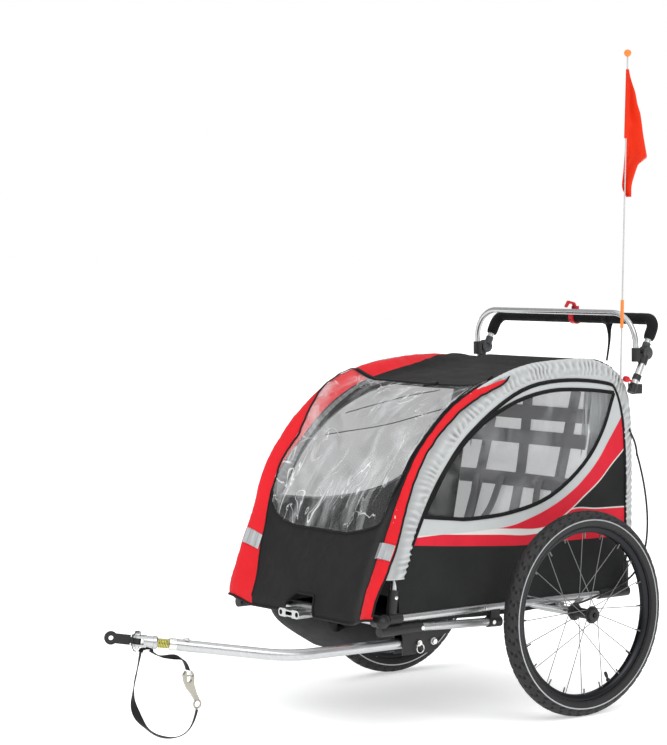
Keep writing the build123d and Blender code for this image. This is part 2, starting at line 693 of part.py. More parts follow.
def strap(points):
    """Flat webbing along a route of (Y, Z) points, hanging in the plane X = STRAP_X."""
    path = FilletPolyline(*[(STRAP_X, y, z) for y, z in points], radius=corner_radii(points))
    plane = Plane(origin=path @ 0, x_dir=(1, 0, 0), z_dir=path % 0)
    return sweep(plane * Rectangle(STRAP_WIDTH, STRAP_THICK), path=path)


def snap_hook():
    """The cast snap hook: a swivel eye below and an open hook above."""
    with BuildSketch() as body:
        with BuildLine():
            Polyline(
                (-988, 182), (-972, 182), (-966, 172), (-966, 150), (-959, 128), (-952, 116),
                (-962, 112), (-972, 128), (-984, 142), (-992, 160), (-994, 174), close=True,
            )
        make_face()
        with Locations((-979, 163)):
            Circle(7.0, mode=Mode.SUBTRACT)
        with BuildLine():
            Polyline((-986, 167), (-986, 188), (-972, 188), (-972, 163), close=True)
        make_face(mode=Mode.SUBTRACT)
        with Locations(GATE_PIVOT):
            Circle(3.0, mode=Mode.SUBTRACT)
    hook = side_plate(body.sketch, STRAP_X - 4, STRAP_X + 4)
    swivel = Pos(STRAP_X, -956, 104) * Rot(0, 90, 0) * Torus(9.0, 2.2)
    return hook + swivel


def snap_gate():
    """The sprung gate inside the hook's mouth. It swings in about its root at GATE_PIVOT."""
    return block((STRAP_X - 3, -985.6, 169.5), (STRAP_X + 3, -972.4, 172.5))


# ---- brake cable ------------------------------------------------------------------------
CABLE_ROUTE = [
    (300, 245, 622), (301, 256, 590), (302, 268, 548), (303, 277, 500), (304, 281, 450),
    (305, 277, 400), (307, 262, 356), (309, 232, 322), (312, 190, 300), (315, 140, 287),
    (318, 90, 277), (320, 44, 268), (321, 14, 265),
]


def brake_cable():
    """The parking brake's sheath, from the rear edge of the side down to the axle."""
    return pipe(CABLE_ROUTE, 2.5, corner_radii(CABLE_ROUTE))


# ---- assembly ---------------------------------------------------------------------------
def build():
    """Every node's solids, by name, with the axle at Y = 0."""
    nodes = {
        "floor_frame": floor_frame(),
        "front_crossbar": front_crossbar(),
        "front_corners": both(front_corner()),
        "tube_end_clamps": both(tube_end_clamp()),
        "stub_axles": both(stub_axle()),
        "tow_receiver": tow_receiver(),
        "receiver_bolt": receiver_bolt(),
        "front_wheel_receiver": front_wheel_receiver(),
        "floor_panel": floor_panel(),
        "footwell": footwell(),
        "front_cover": front_cover(),
        "front_window": front_window(),
        "roof_panel": roof_panel(),
        "back_panel": back_panel(),
        "seat": seat(),
        "harness": harness(),
        "brake_cable": brake_cable(),
        "roll_bar": roll_bar(),
        "bar_posts": both(bar_post()),
        "bar_fittings": both(bar_fitting()) + both(bar_saddle()),
        "bar_pins": both(bar_pin()),
        "handle_tube": handle_tube(),
        "handle_foam": handle_foam(),
        "handle_joints": both(handle_joint()),
        "brake_clamp": brake_clamp(),
        "brake_lever": brake_lever(),
        "flag_pole": flag_pole(),
        "flag_pennant": flag_pennant(),
        "tow_tube": tow_tube(),
        "tow_lock_pin": tow_lock_pin(),
        "hitch_spring": hitch_spring(),
        "coupler": coupler(),
        "hitch_pin": hitch_pin(),
        "hitch_eye": hitch_eye(),
        "strap_loop": strap(LOOP_ROUTE),
        "strap_short": strap(SHORT_ROUTE),
        "snap_hook": snap_hook(),
        "snap_gate": snap_gate(),
    }
    left_wheel = dict(zip(("tyre", "rim", "hub", "spokes"), wheel_parts()))
    left_wheel["axle_button"] = axle_button()
    for name, shape in left_wheel.items():
        pieces = shape if isinstance(shape, list) else [shape]
        nodes["left_" + name] = pieces
        nodes["right_" + name] = [mirrored(piece) for piece in pieces]
    for side, rear_y in (("left", HOOP_REAR_Y), ("right", HOOP_REAR_Y - NEST_OFFSET)):
        frame = {
            "hoop": hoop(rear_y),
            "hoop_sleeve": hoop_sleeve(rear_y),
            "front_tee": front_tee(),
            "rear_corner": rear_corner(rear_y),
            "side_panel": side_panel(rear_y),
            "side_window": side_window(rear_y),
        }
        for name, shape in frame.items():
            nodes[side + "_" + name] = shape if side == "left" else mirrored(shape)
    return nodes


CORD_NODES = ["strap_loop", "strap_short", "snap_hook", "snap_gate"]


def solids_of(shapes):
    """The separate solids of a node."""
    pieces = shapes if isinstance(shapes, list) else [shapes]
    return [solid for piece in pieces for solid in piece.solids()]


def footprint_middle(nodes):
    """How far the middle of the footprint lies behind the axle, without the free straps."""
    boxes = [Compound(solids_of(nodes[n])).bounding_box() for n in nodes if n not in CORD_NODES]
    return (min(b.min.Y for b in boxes) + max(b.max.Y for b in boxes)) / 2


def place_and_export(nodes):
    """Writes every node with the origin at the middle of the footprint, on the ground."""
    os.makedirs("parts", exist_ok=True)
    move = Pos(0, -footprint_middle(nodes), 0)
    for name, shapes in nodes.items():
        pieces = [move * solid for solid in solids_of(shapes)]
        whole = pieces[0] if len(pieces) == 1 else Compound(children=pieces)
        export_step(whole, "parts/" + name + ".step")


if __name__ == "__main__":
    place_and_export(build())
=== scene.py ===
import bisect
import random
from math import copysign, cos, pi, radians, sin, tan

import bmesh
import bpy
import numpy as np
from mathutils import Matrix, Vector, geometry, kdtree, noise


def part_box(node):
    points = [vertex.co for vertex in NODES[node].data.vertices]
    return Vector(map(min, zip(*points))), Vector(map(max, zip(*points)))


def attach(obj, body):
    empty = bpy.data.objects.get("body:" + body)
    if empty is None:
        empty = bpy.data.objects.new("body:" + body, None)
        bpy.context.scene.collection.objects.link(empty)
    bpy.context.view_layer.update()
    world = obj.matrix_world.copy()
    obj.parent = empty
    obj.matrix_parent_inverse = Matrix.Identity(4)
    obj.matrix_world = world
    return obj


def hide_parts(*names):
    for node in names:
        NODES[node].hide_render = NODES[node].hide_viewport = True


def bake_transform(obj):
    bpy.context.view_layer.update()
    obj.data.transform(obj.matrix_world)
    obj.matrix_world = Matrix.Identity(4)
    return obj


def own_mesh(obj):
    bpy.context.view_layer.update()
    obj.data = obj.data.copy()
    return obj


# Child bicycle trailer: what is soft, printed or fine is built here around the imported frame.
# Places are in metres: x to the trailer's left, y backward from the wheel axle, z up from the ground.
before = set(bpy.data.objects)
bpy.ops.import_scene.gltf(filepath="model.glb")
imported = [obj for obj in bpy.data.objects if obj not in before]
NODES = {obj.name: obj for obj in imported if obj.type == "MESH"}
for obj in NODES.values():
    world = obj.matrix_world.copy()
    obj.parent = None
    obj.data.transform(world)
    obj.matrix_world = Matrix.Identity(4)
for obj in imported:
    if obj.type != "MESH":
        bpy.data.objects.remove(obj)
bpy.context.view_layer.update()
random.seed(7)

scene = bpy.context.scene
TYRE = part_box("left_tyre")
AXLE_Y = (TYRE[0][1] + TYRE[1][1]) / 2
AXLE_Z = (TYRE[0][2] + TYRE[1][2]) / 2
WHEEL_X = (TYRE[0][0] + TYRE[1][0]) / 2
RAIL_Z = 0.276
SIDES = (("left", 1), ("right", -1))


def at(x, y, z):
    """A place in the frame's own coordinates."""
    return Vector((x, y + AXLE_Y, z))


def turns(count):
    """Even turns of one circle, in radians."""
    return [2 * pi * i / count for i in range(count)]


def placed(name, data):
    """A new object in the scene."""
    made = bpy.data.objects.new(name, data)
    scene.collection.objects.link(made)
    return made


def waver(x, y, z):
    """Soft noise between about -1 and 1."""
    return noise.noise(Vector((x, y, z)))


# ---- camera, light and floor ------------------------------------------------------------
CAMERA_PLACE, CAMERA_AZIMUTH, CAMERA_PITCH = (4.2375, -3.6862, 1.0940), 52.9, 2.8
CAMERA_LENS, CAMERA_SENSOR = 106.55, 36.0
LIT_PLACE = Vector((0, 0, 0.5))
FLOOR_HALF = 30


def towards(azimuth, height):
    """The direction at these degrees. Azimuth 0 is in front of the trailer, 90 on its left."""
    a, h = radians(azimuth), radians(height)
    return Vector((sin(a) * cos(h), -cos(a) * cos(h), sin(h)))


def set_camera():
    back, turn = towards(CAMERA_AZIMUTH, CAMERA_PITCH), radians(CAMERA_AZIMUTH)
    right = Vector((cos(turn), sin(turn), 0.0))
    data = bpy.data.cameras.new("camera")
    data.lens, data.sensor_width = CAMERA_LENS, CAMERA_SENSOR
    camera = placed("camera", data)
    facing = Matrix((right, back.cross(right), back)).transposed().to_4x4()
    camera.matrix_world = Matrix.Translation(at(*CAMERA_PLACE)) @ facing
    scene.camera = camera


def lamp(name, kind, power, place, shines, axis):
    """A light at the place, with the axis turned along the direction shines."""
    data = bpy.data.lights.new(name, kind)
    data.energy = power
    made = placed(name, data)
    made.location = place
    made.rotation_euler = shines.to_track_quat(axis, "Y").to_euler()
    return data


def strip_light(name, place, size, power):
    data = lamp(name, "AREA", power, place, LIT_PLACE - Vector(place), "-Z")
    data.shape = "RECTANGLE"
    data.size, data.size_y = size


def sun(name, azimuth, height, power, spread):
    """A broad, even light from this direction."""
    lamp(name, "SUN", power, (0, 0, 0), towards(azimuth, height), "Z").angle = radians(spread)


def set_studio():
    scene.view_settings.view_transform = "Standard"
    world = bpy.data.worlds.new("studio")
    world.use_nodes = True
    tree = world.node_tree
    sky, paper = tree.nodes["Background"], tree.nodes.new("ShaderNodeBackground")
    sky.inputs["Color"].default_value = (0.98, 0.99, 1.0, 1)
    sky.inputs["Strength"].default_value = 0.50
    paper.inputs["Color"].default_value = (1, 1, 1, 1)
    rays = tree.nodes.new("ShaderNodeLightPath")
    both = tree.nodes.new("ShaderNodeMixShader")
    tree.links.new(rays.outputs["Is Camera Ray"], both.inputs["Fac"])
    tree.links.new(sky.outputs[0], both.inputs[1])
    tree.links.new(paper.outputs[0], both.inputs[2])
    tree.links.new(both.outputs[0], tree.nodes["World Output"].inputs["Surface"])
    scene.world = world
    sun("key", 75, 48, 1.15, 45)
    sun("fill", -10, 60, 0.75, 70)
    sun("back", 200, 65, 0.45, 60)
    strip_light("strip_side", (3.6, 0.6, 1.9), (0.7, 2.4), 14)
    strip_light("strip_front", (-1.2, -4.2, 1.7), (0.8, 2.4), 16)


def lay_floor():
    mesh = bpy.data.meshes.new("floor")
    corners = [(-FLOOR_HALF, -FLOOR_HALF, 0), (FLOOR_HALF, -FLOOR_HALF, 0), (FLOOR_HALF, FLOOR_HALF, 0),
               (-FLOOR_HALF, FLOOR_HALF, 0)]
    mesh.from_pydata(corners, [], [(0, 1, 2, 3)])
    floor = placed("floor", mesh)
    paper = Shader("floor_paper", (0.93, 0.93, 0.93), 0.95, Emission_Color=(1, 1, 1, 1),
                   Emission_Strength=0.45)
    mesh.materials.append(paper.material)


# ---- materials --------------------------------------------------------------------------
class Shader:
    """A Principled material with short ways to add texture nodes in object coordinates."""

    def __init__(self, name, colour, roughness, **sockets):
        self.material = bpy.data.materials.new(name)
        self.material.use_nodes = True
        self.material.diffuse_color = (*colour, 1)
        self.tree = self.material.node_tree
        self.surface = self.tree.nodes["Principled BSDF"]
        self.fill(self.surface, {"Base Color": (*colour, 1), "Roughness": roughness})
        self.fill(self.surface, {key.replace("_", " "): value for key, value in sockets.items()})
        self.place = self.node("ShaderNodeTexCoord").outputs["Object"]

    def fill(self, node, inputs):
        """Sets the node's inputs, or links them where the value is another node's output."""
        for key, value in inputs.items():
            if isinstance(value, bpy.types.NodeSocket):
                self.tree.links.new(value, node.inputs[key])
            else:
                node.inputs[key].default_value = value

    def node(self, kind, inputs=None, **values):
        made = self.tree.nodes.new(kind)
        for key, value in values.items():
            setattr(made, key, value)
        self.fill(made, inputs or {})
        return made

    def noise(self, scale, detail=3.0, stretch=None, distortion=0.0):
        place = self.place
        if stretch:
            place = self.node("ShaderNodeMapping", {"Scale": stretch, "Vector": place}).outputs["Vector"]
        inputs = {"Scale": scale, "Detail": detail, "Distortion": distortion, "Vector": place}
        return self.node("ShaderNodeTexNoise", inputs).outputs["Fac"]

    def wave(self, axis, pitch, distortion=0.0):
        """Even bands across the axis, one every pitch metres."""
        inputs = {"Scale": 0.314 / pitch, "Distortion": distortion, "Vector": self.place}
        return self.node("ShaderNodeTexWave", inputs, wave_type="BANDS", bands_direction=axis).outputs["Fac"]

    def weave(self, pitch):
        """Crossed threads, one every pitch metres, on all three planes."""
        x, y, z = (self.wave(axis, pitch, 0.4) for axis in "XYZ")
        return self.math("ADD", self.math("ADD", x, y), z)

    def math(self, operation, a, b=0.0, clamp=False):
        return self.node("ShaderNodeMath", {0: a, 1: b}, operation=operation, use_clamp=clamp).outputs[0]

    def ramp(self, factor, stops):
        made = self.node("ShaderNodeValToRGB", {"Fac": factor})
        elements = made.color_ramp.elements
        while len(elements) < len(stops):
            elements.new(0.5)
        for element, (position, colour) in zip(elements, stops):
            element.position = position
            element.color = (*colour, 1)
        return made.outputs["Color"]

    def mix(self, factor, a, b):
        """Goes from a to b, each a colour or another node's output."""
        a, b = ((*side, 1) if isinstance(side, tuple) else side for side in (a, b))
        return self.node("ShaderNodeMix", {"Factor": factor, 6: a, 7: b}, data_type="RGBA").outputs[2]

    def vary(self, colour, amount, scale, detail=4.0, stretch=None):
        """The colour, a little lighter and darker in soft patches."""
        low = tuple(c * (1 - amount) for c in colour)
        high = tuple(min(1.0, c * (1 + amount)) for c in colour)
        return self.ramp(self.noise(scale, detail, stretch), [(0.3, low), (0.7, high)])

    def colour(self, output):
        self.fill(self.surface, {"Base Color": output})

    def cover(self, output):
        self.fill(self.surface, {"Alpha": output})

    def rough(self, low, high, scale, stretch=None):
        inputs = {"From Min": 0.3, "From Max": 0.7, "To Min": low, "To Max": high}
        spread = self.node("ShaderNodeMapRange", {**inputs, "Value": self.noise(scale, stretch=stretch)})
        self.fill(self.surface, {"Roughness": spread.outputs["Result"]})

    def bump(self, *layers):
        """Layers are (height, depth in metres, strength), the coarsest first."""
        below = {}
        for height, depth, strength in layers:
            inputs = {"Strength": strength, "Distance": depth, "Height": height, **below}
            made = self.node("ShaderNodeBump", inputs)
            below = {"Normal": made.outputs["Normal"]}
        self.fill(self.surface, below)

    def axis(self, index):
        return self.node("ShaderNodeSeparateXYZ", {"Vector": self.place}).outputs[index]


def metal(name, colour, roughness, grain=(60, 3, 3)):
    """Brushed metal, with its grain drawn out along the scales."""
    made = Shader(name, colour, roughness, Metallic=1.0)
    made.colour(made.vary(colour, 0.06, 14, stretch=grain))
    made.rough(roughness * 0.85, roughness * 1.2, 9, stretch=grain)
    made.bump((made.noise(40, 2, grain), 0.0004, 0.12))
    return made.material


def moulded(name, colour, roughness, grain=1400):
    """Moulded plastic or rubber with a fine grain."""
    made = Shader(name, colour, roughness, Specular_IOR_Level=0.35)
    made.colour(made.vary(colour, 0.14, 22))
    made.rough(roughness * 0.85, roughness * 1.15, 60)
    made.bump((made.noise(grain, 2), 0.0003, 0.35))
    return made.material


def cloth(name, colour, roughness=0.75, pitch=0.0011, crease=0.5, sheen=0.04, variation=0.09):
    """Woven cloth, uneven in colour and softly creased."""
    made = Shader(name, colour, roughness, Sheen_Weight=sheen, Sheen_Roughness=0.4, Specular_IOR_Level=0.18)
    made.colour(made.vary(colour, variation, 6))
    made.rough(roughness * 0.9, min(1.0, roughness * 1.1), 30)
    made.bump((made.noise(26, 4, distortion=0.6), 0.0035, crease), (made.weave(pitch), 0.0003, 0.35))
    return made.material


def fold_shaded(name, colour, roughness, low, high, grain):
    """Darker in the valleys of its own shape and brighter on the ridges: painted shade in the valleys and
    painted highlight on the ridges, read from the mesh's pointiness.
    """
    made = Shader(name, colour, roughness, Specular_IOR_Level=0.3)
    ridge = made.node("ShaderNodeNewGeometry").outputs["Pointiness"]
    dark, light = tuple(c * low for c in colour), tuple(min(1.0, c * high) for c in colour)
    # Painted shade and highlight: dark in the hollows, light on the ridges, whatever the lamps do.
    made.colour(made.ramp(ridge, [(0.465, dark), (0.50, colour), (0.53, light)]))
    made.bump((made.noise(30, 3), grain, 0.5), (made.weave(0.0011), 0.0002, 0.2))
    return made.material


def glowing_sheer(name, colour, cover):
    """Thin pale cloth that lets some light through, with a painted glow (emission in its own colour) standing
    in for the light that shines through it.
    """
    made = Shader(name, colour, 0.8, Alpha=cover, Specular_IOR_Level=0.15, Emission_Strength=0.24,
                  Emission_Color=(*colour, 1))
    made.colour(made.vary(colour, 0.06, 7))
    made.bump((made.noise(18, 3), 0.003, 0.4), (made.weave(0.0014), 0.0003, 0.3))
    return made.material


def clear_vinyl(name, tint, film, haze_and_highlight, streak, creases=0.0):
    """Soft clear sheet: glossy, streaked along its folds and whitened where it was creased. The milky streaks
    and whitened lines are partly stress whitening and partly painted highlight standing in for the sheet's
    streaked reflections.
    """
    made = Shader(name, tint, 0.08, Specular_IOR_Level=0.7)
    black, white = (0, 0, 0), (1, 1, 1)
    # Milky streaks along the folds: partly haze, partly painted highlight.
    lines = made.ramp(made.noise(9, 5, streak, 0.9), [(0.50, black), (0.70, white)])
    alpha = made.math("ADD", made.math("MULTIPLY", lines, haze_and_highlight), film, clamp=True)
    for scale, stretch in ((4.5, (1.7, 0.8, 0.55)), (8.0, (1.2, 1.0, 0.9))) if creases else ():
        level = made.math("ABSOLUTE", made.math("SUBTRACT", made.noise(scale, 3, stretch, 1.4), 0.5))
        thin = made.math("SUBTRACT", 1.0, made.math("MULTIPLY", level, 95.0), clamp=True)
        broken = made.ramp(made.noise(7, 2, stretch), [(0.48, black), (0.60, white)])
        # Whitened crease lines: partly stress whitening, partly painted highlight.
        whitened_and_highlight = made.math("MULTIPLY", made.math("MULTIPLY", thin, broken), creases)
        alpha = made.math("ADD", alpha, whitened_and_highlight, clamp=True)
    made.cover(alpha)
    made.bump((made.noise(7, 4, streak, 0.7), 0.02, 0.7), (made.noise(40, 2), 0.002, 0.2))
    return made.material


# Edges of the printed bands on the cabin's sides, as (y, z) points.
GREY_LOW = [(-0.46, 0.464), (-0.21, 0.464), (-0.16, 0.468), (-0.113, 0.479), (-0.043, 0.501),
            (0.025, 0.533), (0.074, 0.566), (0.12, 0.608), (0.158, 0.657), (0.193, 0.703), (0.23, 0.76)]
SWOOSH_LOW = [(-0.46, 0.464), (-0.21, 0.464), (-0.16, 0.460), (-0.057, 0.457), (-0.012, 0.472),
              (0.027, 0.493), (0.07, 0.522), (0.124, 0.558), (0.17, 0.600), (0.205, 0.630), (0.23, 0.655)]
BAND_TOP = [(-0.46, 0.469), (-0.207, 0.449), (-0.087, 0.442), (-0.027, 0.453), (0.003, 0.473),
            (0.027, 0.491), (0.124, 0.489), (0.23, 0.487)]
BAND_LOW = [(-0.46, 0.442), (-0.291, 0.428), (-0.105, 0.417), (-0.005, 0.418), (0.16, 0.416), (0.23, 0.416)]
PRINT_Y, PRINT_Z, WEDGE_Y = (-0.5, 0.25), (0.38, 0.78), 0.027
BRIGHT_RED, PRINT_RED = (0.68, 0.011, 0.019), (0.60, 0.014, 0.032)
SILVER, PALE, INK = (0.47, 0.49, 0.49), (0.62, 0.60, 0.58), (0.012, 0.0125, 0.013)


def printed_side():
    """Black cloth with a red band, a red swoosh edged in white, and silver above."""
    made = Shader("printed_side_cloth", INK, 0.65, Sheen_Weight=0.04, Sheen_Roughness=0.4,
                  Specular_IOR_Level=0.18)
    y, z = made.axis(1), made.axis(2)
    span_y, span_z = PRINT_Y[1] - PRINT_Y[0], PRINT_Z[1] - PRINT_Z[0]
    share = made.math("DIVIDE", made.math("SUBTRACT", y, PRINT_Y[0] + AXLE_Y), span_y, clamp=True)

    def above(line, shift=0.0, soft=0.0012):
        """1 above the line, 0 below it."""
        curve = made.node("ShaderNodeFloatCurve")
        points = curve.mapping.curves[0].points
        while len(points) < len(line):
            points.new(0.5, 0.5)
        for point, (py, pz) in zip(points, line):
            point.location = ((py - PRINT_Y[0]) / span_y, (pz - PRINT_Z[0]) / span_z)
        curve.mapping.update()
        made.fill(curve, {"Value": share})
        height = made.math("ADD", made.math("MULTIPLY", curve.outputs[0], span_z), PRINT_Z[0] + shift)
        gap = made.math("DIVIDE", made.math("SUBTRACT", z, height), soft)
        return made.math("ADD", gap, 0.5, clamp=True)

    behind = made.math("GREATER_THAN", y, WEDGE_Y + AXLE_Y)
    red = made.vary(PRINT_RED, 0.12, 9)
    ink = made.vary(INK, 0.25, 7)
    colour = made.mix(above(BAND_LOW), ink, red)
    wedge = made.mix(behind, PALE, ink)
    colour = made.mix(above(BAND_TOP), colour, PALE)
    colour = made.mix(above(BAND_TOP, 0.0032), colour, wedge)
    inner = made.mix(above(SWOOSH_LOW, -0.0040), colour, PALE)
    colour = made.mix(above(SWOOSH_LOW), inner, red)
    colour = made.mix(above(GREY_LOW), colour, made.vary(SILVER, 0.05, 8))
    made.colour(colour)
    made.bump((made.noise(16, 3, distortion=0.5), 0.006, 0.4), (made.weave(0.0011), 0.0003, 0.3))
    return made.material


FERRULE_Z, BALL_Z = (0.9365, 1.0065), 1.6076


def pole_finish():
    """White rod, orange ferrule and orange ball, told apart by height."""
    made = Shader("flag_pole_finish", (0.8, 0.8, 0.78), 0.35)
    z = made.axis(2)
    low, high = (made.math(way, z, level) for way, level in zip(("GREATER_THAN", "LESS_THAN"), FERRULE_Z))
    ferrule, ball = made.math("MULTIPLY", low, high), made.math("GREATER_THAN", z, BALL_Z)
    orange = made.math("ADD", ferrule, ball, clamp=True)
    made.colour(made.mix(orange, made.vary((0.50, 0.50, 0.49), 0.05, 30), (0.86, 0.22, 0.02)))
    made.bump((made.noise(300, 2), 0.0002, 0.2))
    return made.material


def mesh_cloth(name, colour, pitch):
    """Open mesh: round holes in a regular grid."""
    made = Shader(name, colour, 0.7)
    made.colour(made.vary(colour, 0.08, 8))
    holes = made.math("MULTIPLY", made.wave("X", pitch), made.wave("Z", pitch))
    made.cover(made.math("SUBTRACT", 1.0, made.math("GREATER_THAN", holes, 0.45)))
    return made.material


M = {
    "aluminium": metal("satin_aluminium", (0.52, 0.525, 0.53), 0.30),
    "zinc": metal("bright_zinc", (0.72, 0.72, 0.70), 0.26),
    "stainless": metal("spoke_wire", (0.20, 0.205, 0.21), 0.30),
    "warm_steel": metal("snap_hook_plate", (0.40, 0.385, 0.33), 0.32),
    "spring": metal("yellow_zinc", (0.60, 0.57, 0.16), 0.33),
    "black_steel": moulded("black_powder_coat", (0.014, 0.014, 0.015), 0.38, 900),
    "rim": metal("black_anodised", (0.030, 0.031, 0.034), 0.34),
    "black_plastic": moulded("black_nylon", (0.017, 0.017, 0.018), 0.42),
    "grey_plastic": moulded("grey_nylon", (0.050, 0.052, 0.055), 0.45),
    "red_plastic": moulded("red_moulding", (0.55, 0.008, 0.016), 0.30),
    "rubber": moulded("tyre_rubber", (0.026, 0.026, 0.027), 0.66, 500),
    # The tread's grooves get painted shade and its raised parts get painted highlight.
    "tread": fold_shaded("tyre_tread", (0.017, 0.017, 0.018), 0.60, 0.20, 1.7, 0.0005),
    "reflex": metal("reflective_line", (0.46, 0.47, 0.48), 0.42),
    "foam": cloth("grip_foam", (0.009, 0.009, 0.010), 0.9, 0.0016, 0.25),
    "cable": moulded("cable_sheath", (0.012, 0.012, 0.012), 0.4, 300),
    "black_cloth": cloth("black_polyester", (0.013, 0.013, 0.014), 0.72),
    "webbing": cloth("black_webbing", (0.008, 0.008, 0.009), 0.65, 0.0016, 0.1),
    "grey_webbing": cloth("grey_webbing", (0.26, 0.26, 0.27), 0.7, 0.0018, 0.1),
    "red_cloth": cloth("red_polyester", BRIGHT_RED, 0.62, crease=0.6, sheen=0.1),
    "silver_cloth": cloth("silver_polyester", SILVER, 0.55, crease=0.35, variation=0.05),
    # The sleeve's gathers get painted shade in their valleys and painted highlight on their ridges.
    "sleeve_cloth": fold_shaded("silver_sleeve", (0.39, 0.40, 0.40), 0.40, 0.50, 1.30, 0.004),
    # The seat back glows: its emission is painted light.
    "seat_cloth": glowing_sheer("seat_polyester", (0.86, 0.865, 0.87), 0.96),
    "side_print": printed_side(),
    "front_vinyl": clear_vinyl("front_vinyl", (0.80, 0.81, 0.82), 0.06, 0.42, (1.6, 0.7, 0.45), 0.75),
    "side_vinyl": clear_vinyl("side_vinyl", (0.80, 0.81, 0.82), 0.04, 0.12, (1, 1, 1)),
    # The far pane is the same clear vinyl, drawn dark and nearly opaque: painted shade for the dim view
    # through the cabin.
    "shaded_far_vinyl": clear_vinyl("far_side_vinyl_painted_shade", (0.22, 0.225, 0.23), 0.74, 0.10, (1, 1, 1)),
    "net": mesh_cloth("rear_net", (0.42, 0.43, 0.44), 0.0022),
    "flag": cloth("orange_ripstop", (0.70, 0.024, 0.001), 0.55, 0.0022, 0.35),
    "pole": pole_finish(),
}
CAD_FINISH = {
    "aluminium": "floor_frame front_crossbar left_hoop right_hoop roll_bar bar_posts handle_tube tow_tube "
                 "coupler front_wheel_receiver",
    "black_plastic": "front_corners tube_end_clamps left_front_tee right_front_tee left_rear_corner "
                     "right_rear_corner bar_fittings left_hub right_hub",
    "grey_plastic": "handle_joints",
    "zinc": "stub_axles receiver_bolt tow_lock_pin hitch_pin",
    "warm_steel": "snap_hook snap_gate",
    "stainless": "left_spokes right_spokes",
    "black_steel": "tow_receiver hitch_eye",
    "spring": "hitch_spring",
    "rim": "left_rim right_rim left_axle_button right_axle_button",
    "rubber": "left_tyre right_tyre",
    "black_cloth": "floor_panel footwell roof_panel back_panel front_cover",
    "webbing": "harness strap_loop strap_short",
    "silver_cloth": "left_hoop_sleeve right_hoop_sleeve",
    "side_print": "left_side_panel right_side_panel",
    "seat_cloth": "seat",
    "side_vinyl": "left_side_window right_side_window front_window",
    "foam": "handle_foam",
    "red_plastic": "bar_pins brake_clamp brake_lever",
    "flag": "flag_pennant",
    "pole": "flag_pole",
    "cable": "brake_cable",
}


def finish_cad():
    for key, names in CAD_FINISH.items():
        for name in names.split():
            for slot in NODES[name].material_slots:
                slot.material = M[key]


# ---- building in mesh code --------------------------------------------------------------
def smooth(value):
    """An even step from 0 to 1 as the value goes from 0 to 1."""
    value = min(max(value, 0.0), 1.0)
    return value * value * (3 - 2 * value)


def through(points, per=6):
    """A soft curve through the points."""
    points = [Vector(p) for p in points]
    ends = [points[0] * 2 - points[1], *points, points[-1] * 2 - points[-2]]
    line = []
    for p, q, r, s in zip(ends, ends[1:], ends[2:], ends[3:]):
        for i in range(per):
            t = i / per
            line.append(0.5 * (2 * q + (r - p) * t + (2 * p - 5 * q + 4 * r - s) * t ** 2
                               + (3 * q - 3 * r + s - p) * t ** 3))
    return line + [points[-1]]


def soft_line(points, per=4):
    """A soft curve through flat points, as tuples."""
    return [tuple(p) for p in through(points, per)]


def rounded(points, radii, step=0.008):
    """The line through the points with its corners rounded to the radii."""
    points = [Vector(p) for p in points]
    line = [points[0]]
    for a, b, c, radius in zip(points, points[1:], points[2:], radii):
        first, second = (b - a).normalized(), (c - b).normalized()
        turn = first.angle(second)
        start = b - first * radius * tan(turn / 2)
        centre = b + (second - first).normalized() * radius / cos(turn / 2)
        count = max(4, int(radius * turn / step))
        for i in range(count + 1):
            swing = turn * i / count
            line.append(centre + (start - centre) * cos(swing) + first * radius * sin(swing))
    return line + [points[-1]]


class Track:
    """A line that is read by distance."""

    def __init__(self, points):
        self.points = [Vector(p) for p in points]
        self.marks = [0.0]
        for a, b in zip(self.points, self.points[1:]):
            self.marks.append(self.marks[-1] + (b - a).length)
        self.length = self.marks[-1]

    def at(self, distance):
        distance = min(max(distance, 0.0), self.length)
        i = min(bisect.bisect_right(self.marks, distance), len(self.points) - 1)
        span = max(self.marks[i] - self.marks[i - 1], 1e-9)
        return self.points[i - 1].lerp(self.points[i], (distance - self.marks[i - 1]) / span)

    def along(self, distance):
        return (self.at(distance + 0.005) - self.at(distance - 0.005)).normalized()

    def even(self, step):
        count = max(2, round(self.length / step))
        return [self.at(self.length * i / count) for i in range(count + 1)]


def frames(points, over=None, closed=False):
    """(point, across, over) along a line, turned as little as possible or held to the given normals."""
    rows, last = [], None
    for i, point in enumerate(points):
        before = points[i - 1] if i or closed else point
        after = points[(i + 1) % len(points)] if i < len(points) - 1 or closed else point
        along = (after - before).normalized()
        guide = over[i] if over else last
        if guide is None:
            guide = Vector((0, 0, 1)) if abs(along.z) < 0.9 else Vector((1, 0, 0))
        across = along.cross(guide).normalized()
        last = across.cross(along)
        rows.append((point, across, last))
    return rows


def circle(radius, sides):
    return [(radius * cos(turn), radius * sin(turn)) for turn in turns(sides)]


def webbing_section(width, thick):
    """Flat webbing with slightly rounded edges."""
    a, b, c, d = width / 2, width / 2 - thick * 0.4, thick / 2, thick * 0.25
    return [(a, d), (b, c), (-b, c), (-a, d), (-a, -d), (-b, -c), (b, -c), (a, -d)]


